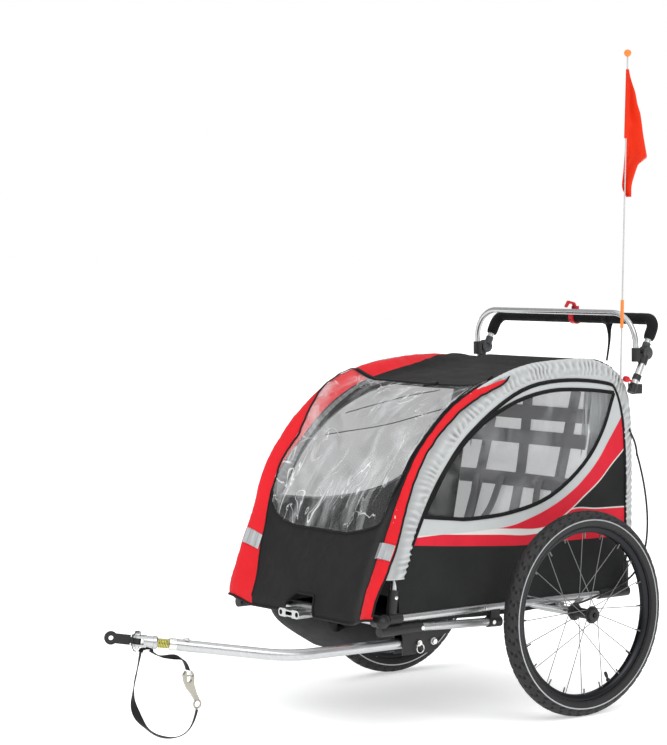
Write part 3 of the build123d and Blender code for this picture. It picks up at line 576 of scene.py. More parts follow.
class Skin:
    """Gathers the faces of one mesh piece, each with its material."""

    def __init__(self):
        self.verts, self.faces, self.slots = [], [], []

    def add(self, verts, faces, slot=0):
        base = len(self.verts)
        self.verts += verts
        self.faces += [tuple(base + i for i in face) for face in faces]
        self.slots += [slot] * len(faces) if isinstance(slot, int) else slot

    def loft(self, rings, slot=0, loop=True, caps=True, closed=False):
        """Skins rings of equal count. slot may be a list, one for each strip round the rings."""
        count, total = len(rings[0]), len(rings)
        faces, slots = [], []
        for i in range(total if closed else total - 1):
            j = (i + 1) % total
            for k in range(count if loop else count - 1):
                m = (k + 1) % count
                faces.append((i * count + k, i * count + m, j * count + m, j * count + k))
                slots.append(slot if isinstance(slot, int) else slot[k])
        if caps and loop and not closed:
            faces += [tuple(range(count))[::-1], tuple(range((total - 1) * count, total * count))]
            slots += [slots[0]] * 2
        self.add([p for ring in rings for p in ring], faces, slots)

    def sweep(self, points, section, slot=0, over=None, closed=False):
        """section is a list of (across, over) offsets, or a function of the share of the way."""
        rings = []
        for i, (point, across, normal) in enumerate(frames(points, over, closed)):
            ring = section(i / (len(points) - 1)) if callable(section) else section
            rings.append([point + across * u + normal * v for u, v in ring])
        self.loft(rings, slot, closed=closed)

    def tube(self, points, radius, slot=0, sides=8, closed=False):
        self.sweep([Vector(p) for p in points], circle(radius, sides), slot, closed=closed)

    def strap(self, points, width, thick, over, slot=0):
        """Flat webbing along the points, with its face held towards over."""
        points = [Vector(p) for p in points]
        self.sweep(points, webbing_section(width, thick), slot, [Vector(over)] * len(points))

    def lathe(self, centre, axis, profile, sides, slot=0, closed=False, wave=None):
        """Turns a profile of (distance along the axis, radius) round it. wave(segment, point) adds height."""
        axis = Vector(axis).normalized()
        side = axis.orthogonal().normalized() if abs(axis.x) < 0.99 else Vector((0, 1, 0))
        other = axis.cross(side)
        rings = []
        for i, turn in enumerate(turns(sides)):
            out = side * cos(turn) + other * sin(turn)
            rings.append([centre + axis * a + out * (r + (wave(i, k) if wave else 0.0))
                          for k, (a, r) in enumerate(profile)])
        self.loft(rings, slot, loop=closed, caps=False, closed=True)

    def make(self, name, body, materials, replaces="", slot="", sharp=38):
        """Makes the piece, riding on the body. Edges sharper than sharp degrees stay crisp."""
        mesh = bpy.data.meshes.new(name)
        mesh.from_pydata([tuple(v) for v in self.verts], [], self.faces)
        for key in materials.split():
            mesh.materials.append(M[key])
        mesh.polygons.foreach_set("material_index", self.slots)
        build = bmesh.new()
        build.from_mesh(mesh)
        bmesh.ops.recalc_face_normals(build, faces=build.faces)
        build.to_mesh(mesh)
        build.free()
        mesh.polygons.foreach_set("use_smooth", [True] * len(mesh.polygons))
        mesh.set_sharp_from_angle(angle=radians(sharp))
        made = placed(name, mesh)
        if body:
            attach(made, body)
        if replaces:
            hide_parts(*replaces.split())
        return made


def inside(points, outline):
    """Which of the points lie in the outline."""
    x, y = np.array(points).T[:, :, None]
    ax, ay = np.array(outline).T
    bx, by = np.roll(ax, -1), np.roll(ay, -1)
    crossed = ((ay > y) != (by > y)) & (x < (bx - ax) * (y - ay) / (by - ay + 1e-12) + ax)
    return crossed.sum(1) % 2 == 1


def flat_patch(outline, holes=(), lines=(), pitch=0.010):
    """Points, triangles and their middles over a flat outline, with edges along its holes and lines."""
    points, edges = [], []
    for line, loop in [(outline, True), *((h, True) for h in holes), *((c, False) for c in lines)]:
        even = Track([*line, line[0]] if loop else line).even(pitch)
        even = even[:-1] if loop else even
        base = len(points)
        points += [(p.x, p.y) for p in even]
        edges += [(base + i, base + (i + 1) % len(even)) for i in range(len(even) - (not loop))]
    tree = kdtree.KDTree(len(points))
    for i, (u, v) in enumerate(points):
        tree.insert((u, v, 0), i)
    tree.balance()
    low, high = np.min(outline, 0), np.max(outline, 0)
    rows = int((high[1] - low[1]) / (pitch * 0.87)) + 1
    columns = int((high[0] - low[0]) / pitch) + 1
    grid = [(low[0] + pitch * (i + 0.5 * (j % 2)), low[1] + pitch * 0.87 * j) for j in range(rows)
            for i in range(columns)]
    grid = [p for p, kept in zip(grid, inside(grid, outline)) if kept and tree.find((*p, 0))[2] > pitch * 0.6]
    made = geometry.delaunay_2d_cdt([Vector(p) for p in points + grid], edges, [], 0, 1e-6)
    corners = [tuple(v) for v in made[0]]
    middles = [tuple(np.mean([corners[i] for i in face], 0)) for face in made[2]]
    kept = inside(middles, outline)
    for hole in holes:
        kept &= ~inside(middles, hole)
    faces = [face for face, ok in zip(made[2], kept) if ok]
    return corners, faces, [m for m, ok in zip(middles, kept) if ok]


def bent(skin, patch, place, thick, slots=0, back=None, flip=False):
    """Adds a flat patch, bent into place and made thick. back is the inner side's material."""
    corners, faces, middles = patch
    front = [place(*p) for p in corners]
    if flip:
        faces = [tuple(reversed(face)) for face in faces]
    normals = [Vector() for _ in front]
    for face in faces:
        a, b, c = (front[i] for i in face[:3])
        for i in face:
            normals[i] += (b - a).cross(c - a)
    outer = [slots(*m) for m in middles] if callable(slots) else [slots] * len(faces)
    if not thick:
        skin.add(front, faces, outer)
        return
    count = len(front)
    rear = [p - n.normalized() * thick for p, n in zip(front, normals)]
    edges = {(face[i - 1], face[i]): slot for face, slot in zip(faces, outer) for i in range(len(face))}
    rim = [(edge, slot) for edge, slot in edges.items() if edge[::-1] not in edges]
    skin.add(front + rear, [*faces, *(tuple(count + i for i in reversed(face)) for face in faces),
                            *((b, a, count + a, count + b) for (a, b), _ in rim)],
             [*outer, *([back] * len(faces) if back is not None else outer), *(slot for _, slot in rim)])


def laid(place, line, lift=0.0, step=0.008, flip=False, closed=False):
    """Points and outward normals along a flat line, where place() puts them."""
    even = Track([*line, line[0]] if closed else line).even(step)
    points, normals, e = [], [], 0.004
    for u, v in even[:-1] if closed else even:
        normal = (place(u + e, v) - place(u - e, v)).cross(place(u, v + e) - place(u, v - e)).normalized()
        normal = -normal if flip else normal
        points.append(place(u, v) + normal * lift)
        normals.append(normal)
    return points, normals


def bead(skin, place, line, radius, slot=0, lift=0.0, flip=False, closed=False, step=0.008):
    """A round cord along a flat line."""
    skin.tube(laid(place, line, lift, step, flip, closed)[0], radius, slot, 8, closed)


def ribbon(skin, place, line, width, thick, lift=0.0, flip=False, closed=False):
    """A flat tape along a flat line."""
    points, normals = laid(place, line, lift, flip=flip, closed=closed)
    skin.sweep(points, webbing_section(width, thick), 0, normals, closed)


# ---- safety strap -----------------------------------------------------------------------
STRAP_X, STRAP_WIDTH = 0.118, 0.018
LOOP_ROUTE = [(-1.106, 0.238), (-1.113, 0.205), (-1.124, 0.165), (-1.127, 0.122), (-1.108, 0.082),
              (-1.074, 0.050), (-1.030, 0.034), (-0.990, 0.038), (-0.965, 0.062), (-0.957, 0.092)]
SHORT_ROUTE = [(-1.078, 0.236), (-1.058, 0.222), (-1.030, 0.219), (-1.004, 0.216), (-0.987, 0.203),
               (-0.981, 0.184)]


def spline_points(name, route):
    """Points read from the NURBS line whose control points are the route's."""
    data = bpy.data.curves.new(name, "CURVE")
    data.dimensions = "3D"
    spline = data.splines.new("NURBS")
    spline.points.add(len(route) - 1)
    for point, (y, z) in zip(spline.points, route):
        point.co = (*at(STRAP_X, y, z), 1)
    spline.order_u = 3
    spline.use_endpoint_u = True
    data.resolution_u = 10
    holder = bpy.data.objects.new(name, data)
    line = [v.co.copy() for v in bpy.data.meshes.new_from_object(holder).vertices]
    bpy.data.objects.remove(holder)
    return line


def free_strap(name, route, node, twists):
    """Flat webbing that turns about its own line by the given degrees, evenly spaced along it."""
    line = spline_points(name + "_line", route)
    turned = through([(i / (len(twists) - 1), t, 0) for i, t in enumerate(twists)], 12)
    normals = []
    for i in range(len(line)):
        along = (line[min(i + 1, len(line) - 1)] - line[max(i - 1, 0)]).normalized()
        degrees = turned[round(i / (len(line) - 1) * (len(turned) - 1))].y
        normals.append(Matrix.Rotation(radians(degrees), 3, along) @ along.cross(Vector((1, 0, 0))))
    skin = Skin()
    skin.sweep(line, webbing_section(STRAP_WIDTH, 0.0022), 0, normals)
    strap = skin.make(name, "coupler", "webbing", node, "black_fabric")
    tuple(line[0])


def make_straps():
    free_strap("strap_loop_webbing", LOOP_ROUTE, "strap_loop",
               [20, 38, 20, -45, 0, -14, -18, -30, -20])
    free_strap("strap_short_webbing", SHORT_ROUTE, "strap_short", [0, 10, 30, 10, 0])


# ---- wheels -----------------------------------------------------------------------------
TYRE_RING, TYRE_HALF_WIDTH, TYRE_HEIGHT = 0.2275, 0.0225, 0.0222
TYRE_STEPS, TYRE_REACH = 34, 128
TREAD_SEGMENTS, TREAD_TURNS = 400, (9, 76)
RIM_HALF = [(0.0, 0.1970), (0.0045, 0.1971), (0.0085, 0.1996), (0.0113, 0.2035), (0.0122, 0.2065),
            (0.0125, 0.2108), (0.0121, 0.2117), (0.0112, 0.2112), (0.0108, 0.2075), (0.0040, 0.2055),
            (0.0, 0.2050)]
BARREL = [(-0.0398, 0.0066), (-0.0398, 0.0150), (-0.0380, 0.0168), (-0.0325, 0.0172), (-0.0322, 0.0205),
          (-0.0312, 0.0212), (-0.0288, 0.0212), (-0.0278, 0.0204), (-0.0272, 0.0150), (-0.0200, 0.0124),
          (0.0200, 0.0124), (0.0272, 0.0150), (0.0278, 0.0204), (0.0288, 0.0212), (0.0312, 0.0212),
          (0.0322, 0.0205), (0.0325, 0.0172), (0.0372, 0.0172), (0.0392, 0.0160), (0.0398, 0.0140),
          (0.0398, 0.0062)]
SPOKES, SPOKE_FOOT, SPOKE_LEAN = 20, 0.1972, 0.004
VALVE_TURN, VALVE_FOOT = radians(-64), 0.197


def tyre_swing(k):
    """Degrees from the crown at step k of the tyre's section, which runs from bead to bead."""
    return -TYRE_REACH + 2 * TYRE_REACH * k / TYRE_STEPS


def tread(segment, k):
    """Zigzag grooves across the crown and ribs down the shoulders."""
    swing = abs(tyre_swing(k))
    if not TREAD_TURNS[0] <= swing <= TREAD_TURNS[1]:
        return 0.0
    zigzag = (segment % 8 + (2 if k % 6 < 3 else 0) + (4 if k > TYRE_STEPS / 2 else 0)) % 8
    if zigzag < 2:
        return -0.0026
    return 0.0006 if swing < 50 else 0.0003


def make_wheel(side, sign):
    centre, axis, body = at(sign * WHEEL_X, 0, AXLE_Z), (sign, 0, 0), side + "_wheel"
    section = [radians(tyre_swing(k)) for k in range(TYRE_STEPS + 1)]
    section = [(TYRE_HALF_WIDTH * sin(swing), TYRE_RING + TYRE_HEIGHT * cos(swing)) for swing in section]
    slots = [0] * TYRE_STEPS
    slots[5] = slots[-6] = 1
    skin = Skin()
    skin.lathe(centre, axis, section, TREAD_SEGMENTS, slots, wave=tread)
    for way in (-1, 1):
        skin.lathe(centre, axis, [(way * 0.0176, 0.2136), (way * 0.0128, 0.2128), (way * 0.0128, 0.2118)], 96)
    skin.make(side + "_tyre_tread", body, "tread reflex", side + "_tyre", "tyre_rubber", 30)
    skin = Skin()
    skin.lathe(centre, axis, [(-a, r) for a, r in RIM_HALF[::-1]] + RIM_HALF[1:], 180, closed=True)
    skin.make(side + "_rim_section", body, "rim", side + "_rim", "rim_black")
    skin = Skin()
    skin.lathe(centre, axis, BARREL, 64)
    skin.make(side + "_hub_shell", body, "black_plastic", side + "_hub", "black_moulding")
    skin = Skin()
    for i, turn in enumerate(turns(SPOKES)):
        out = Vector((0, cos(turn), sin(turn)) if sign > 0 else (0, sin(turn), cos(turn)))
        foot = centre + out * SPOKE_FOOT + Vector((SPOKE_LEAN * (1 if i % 2 else -1) * sign, 0, 0))
        skin.sweep([foot - out * rise for rise in (0, 0.003, 0.012, 0.0135)],
                   lambda share: circle(0.0026 if share < 0.3 else 0.0019, 8))
    skin.make(side + "_nipples", body, "stainless", slot="steel_zinc")
    skin = Skin()
    out = Vector((0, cos(VALVE_TURN), sin(VALVE_TURN)))
    foot = centre + out * VALVE_FOOT
    for start, end, radius in ((0.0, 0.018, 0.0032), (0.004, 0.007, 0.0055), (0.016, 0.027, 0.0042)):
        skin.tube([foot - out * rise for rise in (start, start + 0.001, end)], radius, 0, 12)
    skin.make(side + "_valve", body, "black_plastic", slot="black_moulding")


# ---- folding sides ----------------------------------------------------------------------
SLEEVE_OUT = [(-0.545, 0.367), (-0.542, 0.385), (-0.514, 0.519), (-0.469, 0.615), (-0.405, 0.702),
              (-0.339, 0.760), (-0.273, 0.798), (-0.185, 0.833), (-0.103, 0.854), (-0.011, 0.862),
              (0.096, 0.862), (0.170, 0.838), (0.212, 0.803), (0.234, 0.738), (0.242, 0.629),
              (0.243, 0.500), (0.243, 0.367)]
SLEEVE_IN = [(-0.497, 0.367), (-0.494, 0.380), (-0.469, 0.446), (-0.450, 0.504), (-0.424, 0.563),
             (-0.379, 0.641), (-0.313, 0.708), (-0.246, 0.756), (-0.171, 0.794), (-0.096, 0.815),
             (0.003, 0.819), (0.111, 0.814), (0.171, 0.793), (0.190, 0.750), (0.205, 0.663), (0.211, 0.560),
             (0.212, 0.367)]
PANEL_BOTTOM = [(-0.509, 0.281), (-0.390, 0.271), (-0.272, 0.265), (-0.117, 0.264), (-0.010, 0.274),
                (0.099, 0.281), (0.200, 0.289)]
LEAF_LOW = [(-0.436, 0.507), (-0.355, 0.498), (-0.291, 0.493), (-0.164, 0.500), (-0.038, 0.531),
            (0.073, 0.603), (0.137, 0.685), (0.175, 0.776)]
LEAF_TOP = [(-0.436, 0.507), (-0.410, 0.549), (-0.352, 0.634), (-0.262, 0.713), (-0.148, 0.766),
            (-0.035, 0.788), (0.081, 0.786), (0.175, 0.776)]
SLEEVE_PIPING = [(-0.480, 0.420), (-0.463, 0.460), (-0.423, 0.538), (-0.374, 0.611), (-0.309, 0.683),
                 (-0.208, 0.755), (-0.105, 0.800), (0.018, 0.812), (0.145, 0.801), (0.182, 0.780),
                 (0.206, 0.705), (0.215, 0.604), (0.217, 0.480), (0.217, 0.380)]
PANEL_X, SLEEVE_X = 0.2885, 0.280
SLEEVE_RINGS, SLEEVE_SIDES, GATHER_PITCH = 760, 26, 0.0185


def side_place(sign):
    """Puts a point of the left side's flat pattern on the left (1) or the right (-1), taut but uneven."""
    def place(y, z):
        back = 0.020 * smooth((y + 0.15) / 0.35) if sign < 0 else 0.0
        ripple = 0.0012 * waver(y * 14, z * 9, sign * 3) * smooth((z - 0.29) / 0.05)
        tuck = 0.0022 * waver(y * 60, z * 5, 8 + sign) * smooth((0.34 - z) / 0.06)
        return at(sign * (PANEL_X + ripple + tuck), y - back, z)
    return place


def make_sleeve(side, sign):
    """The gathered sleeve round the hoop. Its folds slant and fade out where the cover lies over it."""
    outer, inner = Track(through(SLEEVE_OUT)), Track(through(SLEEVE_IN))
    place, rings = side_place(sign), []
    for i in range(SLEEVE_RINGS + 1):
        share = i / SLEEVE_RINGS
        high, low = outer.at(share * outer.length), inner.at(share * inner.length)
        low += (low - high) * 0.20 * (1 - smooth((share - 0.50) / 0.10))
        if sign < 0:
            high = high.lerp(low, 0.13)
        middle, reach = (high + low) / 2, (high - low) / 2
        along = share * outer.length
        ring = []
        for turn in turns(SLEEVE_SIDES):
            across, up = sin(turn), cos(turn)
            slant = 0.9 * waver(along * 15, up * 1.3, across) + 2.2 * waver(along * 11, 0, 2)
            ridge = sin(2 * pi * along / GATHER_PITCH + 3.8 * slant + 1.1 * up)
            strength = 0.55 + 0.9 * waver(along * 24, up * 1.1, across * 1.2 + 9)
            gather = max(0.0, strength) * (ridge + 0.35 * abs(ridge))
            fold = waver(along * 13, up * 1.2, across * 1.2 + 5)
            under = smooth((up + 0.15) / 0.45) * (1 - smooth((share - 0.38) / 0.10))
            puff = (1 - 0.30 * under) * (1 + (0.19 * gather + 0.20 * fold) * (1 - under))
            width = abs(across) ** 0.8 * copysign(1, across)
            point = middle + reach * up * (1 + 0.018 * gather)
            base = place(point.x, point.y)
            ring.append(Vector((sign * (SLEEVE_X + 0.0125 * width * puff), base.y, base.z)))
        rings.append(ring)
    skin = Skin()
    skin.loft(rings)
    skin.make(side + "_sleeve_cloth", side + "_side", "sleeve_cloth", side + "_hoop_sleeve",
              "sleeve_fabric", 60)


def make_side(side, sign):
    place, flip, body = side_place(sign), sign < 0, side + "_side"
    middle = [(a + b) / 2 for a, b in zip(map(Vector, SLEEVE_OUT), map(Vector, SLEEVE_IN))]
    outline = [*PANEL_BOTTOM, *[tuple(p) for p in middle[::-1]], (-0.512, 0.330)]
    leaf = soft_line(LEAF_LOW, 3)[:-1] + soft_line(LEAF_TOP, 3)[:0:-1]
    seams = [soft_line(line) for line in (LEAF_LOW, LEAF_TOP, SLEEVE_PIPING)]
    skin = Skin()
    bent(skin, flat_patch(outline, [leaf], pitch=0.011), place, 0.0014, 0, 1, flip)
    skin.make(side + "_panel_cloth", body, "side_print black_cloth", side + "_side_panel", "side_fabric", 60)
    skin = Skin()
    for line in seams:
        for shift in (-0.0027, 0.0027):
            offset = [(y - 0.6 * shift, z + shift) for y, z in line]
            bead(skin, place, offset, 0.0021, 0, 0.0008, flip)
    skin.make(side + "_panel_piping", body, "webbing", slot="black_fabric")
    skin = Skin()
    for line in seams:
        ribbon(skin, place, line, 0.0070, 0.0010, 0.0004, flip)
    ribbon(skin, place, soft_line(PANEL_BOTTOM), 0.014, 0.0026, 0.0002, flip)
    skin.make(side + "_panel_binding", body, "black_cloth", slot="black_fabric")

    def pane(y, z):
        slack = 0.0022 * waver(y * 7 + z * 5, z * 6, 4 + sign)
        return place(y, z) + Vector((sign * (slack - 0.0012), 0, 0))
    skin = Skin()
    bent(skin, flat_patch(leaf, pitch=0.014), pane, 0, flip=flip)
    # The far side's pane takes the darkened vinyl, a painted shade.
    skin.make(side + "_window_pane", body, "side_vinyl" if sign > 0 else "shaded_far_vinyl",
              side + "_side_window", "clear_window", 80)


# ---- cabin cover ------------------------------------------------------------------------
NOSE = Track(rounded([(-0.583, 0.278), (-0.489, 0.530), (-0.269, 0.800), (0.192, 0.856)], [0.470, 0.420]))
EDGE = Track(through([(-0.597, 0.290), (-0.589, 0.326), (-0.567, 0.407), (-0.554, 0.444), (-0.539, 0.493),
                      (-0.514, 0.572), (-0.482, 0.641), (-0.445, 0.690), (-0.404, 0.734), (-0.347, 0.778),
                      (-0.271, 0.816), (-0.198, 0.840), (-0.124, 0.854), (-0.023, 0.862), (0.080, 0.861),
                      (0.150, 0.857), (0.192, 0.845)]))
COVER_X, CREST_X = 0.308, 0.268
INNER_FAR = Track(through([(-0.03, 0.197), (0.0, 0.200), (0.11, 0.216), (0.20, 0.228), (0.28, 0.235),
                           (0.42, 0.229), (0.53, 0.226), (0.66, 0.222), (0.82, 0.228), (0.93, 0.248),
                           (1.08, 0.290)]))
INNER_NEAR = Track(through([(-0.03, 0.252), (0.0, 0.254), (0.10, 0.264), (0.20, 0.270), (0.30, 0.280),
                            (0.42, 0.284), (0.54, 0.282), (0.68, 0.276), (0.74, 0.278), (0.82, 0.288),
                            (0.92, 0.300), (1.08, 0.312)]))


def strap_inner(s, x=1.0):
    """How far out the black panel ends and the red strap begins, on the side of x."""
    line = INNER_FAR if x < 0 else INNER_NEAR
    return line.at((s + 0.03) / 1.11 * line.length).y


def cover_place(x, s, lift=0.0, wrinkle=1.0):
    """The cover's surface: x across, s up the nose and back along the roof. Its sides rise to a crest, then
    turn back round the hoops."""
    wide = abs(x)
    y, z = NOSE.at(s)
    along = NOSE.along(max(s, 0.0))
    edge = EDGE.at(s / NOSE.length * EDGE.length)
    bend = smooth((wide - 0.200) / (CREST_X - 0.200))
    y, z = y + (edge.x - y) * bend, z + (edge.y - z) * bend
    z += min(s, 0.0)
    roof = smooth((s - 0.60) / 0.12) * smooth((1.075 - s) / 0.10)
    z -= 0.017 * roof * max(0.0, 1 - (x / 0.25) ** 2)
    strap = smooth((wide - 0.222) / 0.012)
    gather = 0.0018 * waver(x * 30, s * 52, 3) + 0.0020 * waver(x * 12, s * 19, 9)
    low = smooth((0.22 - s) / 0.05)
    buckle = 0.0045 * waver(x * 7 + s * 5, s * 11, 1) * low
    drape = 0.0040 * waver(x * 9, s * 7 + x * 3, 6) * roof
    out = lift + wrinkle * (gather * strap + (buckle + drape) * (1 - strap))
    turn = max(0.0, (wide - CREST_X) / (COVER_X - CREST_X)) * pi / 2
    flare = 0.012 * smooth((0.10 - s) / 0.10) * sin(turn) if x < 0 else 0.0
    if x < 0:
        reach, drop = 0.022, 0.036
        deep = 0.012 + 0.007 * smooth((s - 0.25) / 0.15) - 0.010 * smooth((s - 0.48) / 0.16)
    else:
        reach, drop, deep = 0.0275 - 0.0220 * smooth((s - 0.72) / 0.10), 0.019, 0.014
    across = min(wide, CREST_X) + (reach + lift) * sin(turn) + flare
    sink = deep * smooth((s - 0.03) / 0.18) * (1 - 0.62 * smooth((s - 0.70) / 0.25))
    out -= (drop + lift) * (1 - cos(turn)) + sink * bend
    return at(copysign(across, x), y - along.y * out, z + along.x * out)


ZIP_LINE = soft_line([(-0.264, 0.664), (-0.240, 0.666), (-0.190, 0.680), (-0.120, 0.692), (-0.020, 0.699),
                      (0.080, 0.697), (0.160, 0.694), (0.225, 0.690), (0.262, 0.682)])


def window_hole():
    sides = [0.300, 0.360, 0.420, 0.480, 0.540, 0.600]
    low = [(-0.226, 0.275), (-0.216, 0.245), (-0.194, 0.222), (-0.155, 0.205), (-0.10, 0.197), (0.10, 0.197),
           (0.16, 0.210), (0.215, 0.230), (0.243, 0.255)]
    right = [(min(strap_inner(s), 0.274) - 0.002, s) for s in [*sides, 0.672]]
    top = [(x, s - 0.010) for x, s in ZIP_LINE[::-1] if -0.212 < x < 0.215]
    left = [(0.002 - strap_inner(s, -1), s) for s in [*sides, 0.650][::-1]]
    return low + right + top + left


def vinyl_outline():
    low = [(-0.231, 0.262), (-0.220, 0.236), (-0.198, 0.214), (-0.155, 0.197), (-0.10, 0.190), (0.10, 0.190),
           (0.16, 0.203), (0.220, 0.223), (0.250, 0.250)]
    right = [(0.270, 0.300), (0.279, 0.420), (0.279, 0.480), (0.275, 0.560)]
    left = [(-0.266, 0.580), (-0.250, 0.500), (-0.237, 0.420), (-0.238, 0.330)]
    return low + right + ZIP_LINE[::-1] + left


def folds_with_frame(made):
    """Gives the piece its own copy of its mesh."""
    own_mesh(made)


def cover_edge(s, sign):
    """How far out the cover reaches: round the hoops, but inside them over the roof."""
    start, run = (0.66, 0.12) if sign > 0 else (0.90, 0.14)
    foot = 0.015 * smooth((0.12 - s) / 0.12) if sign > 0 else 0.0
    return COVER_X - 0.050 * smooth((s - start) / run) - foot


def make_cover():
    """The black panel and roof with a red strap down each side, in one skin with the window's hole."""
    length = NOSE.length
    hem = [(-COVER_X, -0.012), (-0.20, -0.022), (-0.066, -0.020), (-0.048, 0.010), (-0.026, 0.030),
           (0.044, 0.030), (0.050, 0.010), (0.054, -0.020), (0.18, -0.020), (0.25, -0.016), (0.293, -0.008)]
    foot = [0.015, 0.04, 0.065, 0.09, 0.12]
    rear = [0.66 + i * (length - 0.66) / 14 for i in range(15)]
    near = [(cover_edge(s, 1), s) for s in foot + rear]
    far = [(-cover_edge(s, -1), s) for s in rear[::-1]]
    levels = [-0.018 + i * (length + 0.014) / 60 for i in range(61)]
    seams = [[(sign * strap_inner(s, sign), s) for s in levels] for sign in (-1, 1)]

    def colour(x, s):
        return 1 if abs(x) > strap_inner(s, x) else 0
    skin = Skin()
    patch = flat_patch([*hem, *near, *far], [window_hole()], seams, 0.0105)
    bent(skin, patch, cover_place, 0.0016, colour, 0)
    folds_with_frame(skin.make("cabin_cover", "chassis", "black_cloth red_cloth", "front_cover roof_panel",
                               "cover_fabric", 60))
    skin = Skin()
    for sign in (-1, 1):
        edge = [(sign * (cover_edge(s, sign) - 0.001), s) for s in [i * 0.0266 for i in range(40)]]
        bead(skin, cover_place, edge, 0.0026)
        seam = [(sign * (strap_inner(s, sign) - 0.001), s) for s in [i * 0.025 for i in range(28)]]
        bead(skin, cover_place, seam, 0.0018)
    bead(skin, cover_place, hem, 0.0032, 0, 0.0005)
    folds_with_frame(skin.make("cover_piping", "chassis", "webbing", slot="black_fabric"))


def make_front_window():
    def slack(x, s):
        crease = 1 - abs(waver(x * 13 + 0.5 * sin(s * 9), s * 4.2, 2)) * 2
        ease = smooth((0.250 - abs(x)) / 0.05) * smooth((s - 0.20) / 0.05) * smooth((0.66 - s) / 0.04)
        swell = 0.004 * waver(x * 5, s * 5, 11)
        return cover_place(x, s, 0.0032 + ease * (0.0032 * crease + swell), 0.0)
    outline = vinyl_outline()
    skin = Skin()
    bent(skin, flat_patch(outline, pitch=0.009), slack, 0)
    folds_with_frame(skin.make("front_window_vinyl", "chassis", "front_vinyl", "front_window",
                               "clear_window", 80))
    skin = Skin()
    ribbon(skin, cover_place, outline, 0.0048, 0.0012, 0.0038, closed=True)
    zipper = [(x, s + 0.003) for x, s in ZIP_LINE[2:-2]]
    ribbon(skin, cover_place, zipper, 0.013, 0.0014, 0.0044)
    bead(skin, cover_place, zipper, 0.0016, 1, 0.0058, step=0.004)
    slider = cover_place(0.006, 0.700, 0.0085, 0.0)
    skin.tube([slider + Vector((x, 0, 0)) for x in (-0.011, 0, 0.011)], 0.0042, 1, 8)
    pull = [cover_place(0.006 + 0.0050 * sin(turn) + 0.004 * (1 + cos(turn)), 0.681 + 0.018 * cos(turn),
                        0.0075, 0.0) for turn in turns(24)]
    skin.tube(pull, 0.0019, 0, 8, closed=True)
    # Thin black cords along two of the vinyl's creases, under the sheet: painted shade drawn as dark lines
    # where it folds.
    for crease in ([(-0.160, 0.522), (-0.053, 0.576), (0.045, 0.638), (0.060, 0.668)],
                   [(-0.175, 0.448), (-0.106, 0.463), (0.041, 0.500), (0.190, 0.570)]):
        skin.tube([cover_place(x, s, -0.002, 0.0) for x, s in soft_line(crease, 8)], 0.0013, 0, 6)
    folds_with_frame(skin.make("front_window_zip", "chassis", "webbing black_plastic", slot="black_fabric"))


def make_bands():
    """The two ribbed reflective bands that wrap the lower ends of the red straps."""
    for (name, sign), inner, width, low in zip(SIDES, (0.256, 0.220), (0.044, 0.048), (0.128, 0.113)):
        rings = []
        for i in range(25):
            x = sign * (inner + width * i / 24)
            ridge = 0.0016 * max(0.0, cos(pi * 2 * (i + 1.5) / 8)) ** 2
            column = [(low + 0.036 * k / 8, 0.0026 + ridge) for k in range(9)]
            column += [(low + 0.037, 0.0004), (low - 0.001, 0.0004)]
            rings.append([cover_place(x, s, lift, 0.3) for s, lift in column])
        skin = Skin()
        skin.loft(rings)
        folds_with_frame(skin.make(name + "_reflective_band", "chassis", "reflex", slot="cover_fabric"))


# ---- inside the cabin -------------------------------------------------------------------
REAR_WIDTH, REAR_LOW, REAR_HEIGHT, NET_LEVEL = 0.504, 0.300, 0.537, 0.62
SEAT_WIDTH, SEAT_LOW, SEAT_HEIGHT, SEAT_X = 0.470, 0.385, 0.400, 0.119
SHOULDER_STRAP = [(0.046, 0.545, 0.008), (0.044, 0.520, 0.014), (0.034, 0.460, 0.020)]
SHOULDER_END = [(0.020, 0.055, 0.412), (0.008, 0.010, 0.392)]
LAP_STRAP = [(0.105, 0.060, 0.378), (0.070, 0.030, 0.386), (0.030, 0.008, 0.389), (0.012, 0.004, 0.390)]


def grid(skin, place, across, up, thick=0.0):
    """A surface of columns and rows, from place(u, v) with u and v from 0 to 1."""
    rings = []
    for j in range(up + 1):
        row = [place(i / across, j / up) for i in range(across + 1)]
        if thick:
            row += [p + Vector((0, thick, 0)) for p in reversed(row)]
        rings.append(row)
    skin.loft(rings, loop=bool(thick))


def back_cloth(u, v):
    """The rear sheet, from the rear cross tube up towards the roof's edge, a little hollow."""
    x = (u - 0.5) * REAR_WIDTH
    z = REAR_LOW + v * REAR_HEIGHT
    hollow = 0.010 * sin(pi * u) * sin(pi * v)
    wave = 0.003 * waver(x * 8, z * 5, 21)
    return at(x, 0.194 + 0.004 * v - hollow + wave, z)


def seat_back(u, v):
    """The light sling back, which sags backward between its webbing."""
    x = (u - 0.5) * SEAT_WIDTH
    z = SEAT_LOW + v * SEAT_HEIGHT
    sag = 0.016 * sin(pi * u) ** 0.7 * sin(pi * v)
    wave = 0.004 * waver(x * 11, z * 4, 31)
    return at(x, 0.092 + 0.072 * v + sag + wave, z)


def on_back(x, z, lift):
    """A place in front of the seat back."""
    return seat_back(x / SEAT_WIDTH + 0.5, (z - SEAT_LOW) / SEAT_HEIGHT) - Vector((0, lift, 0))


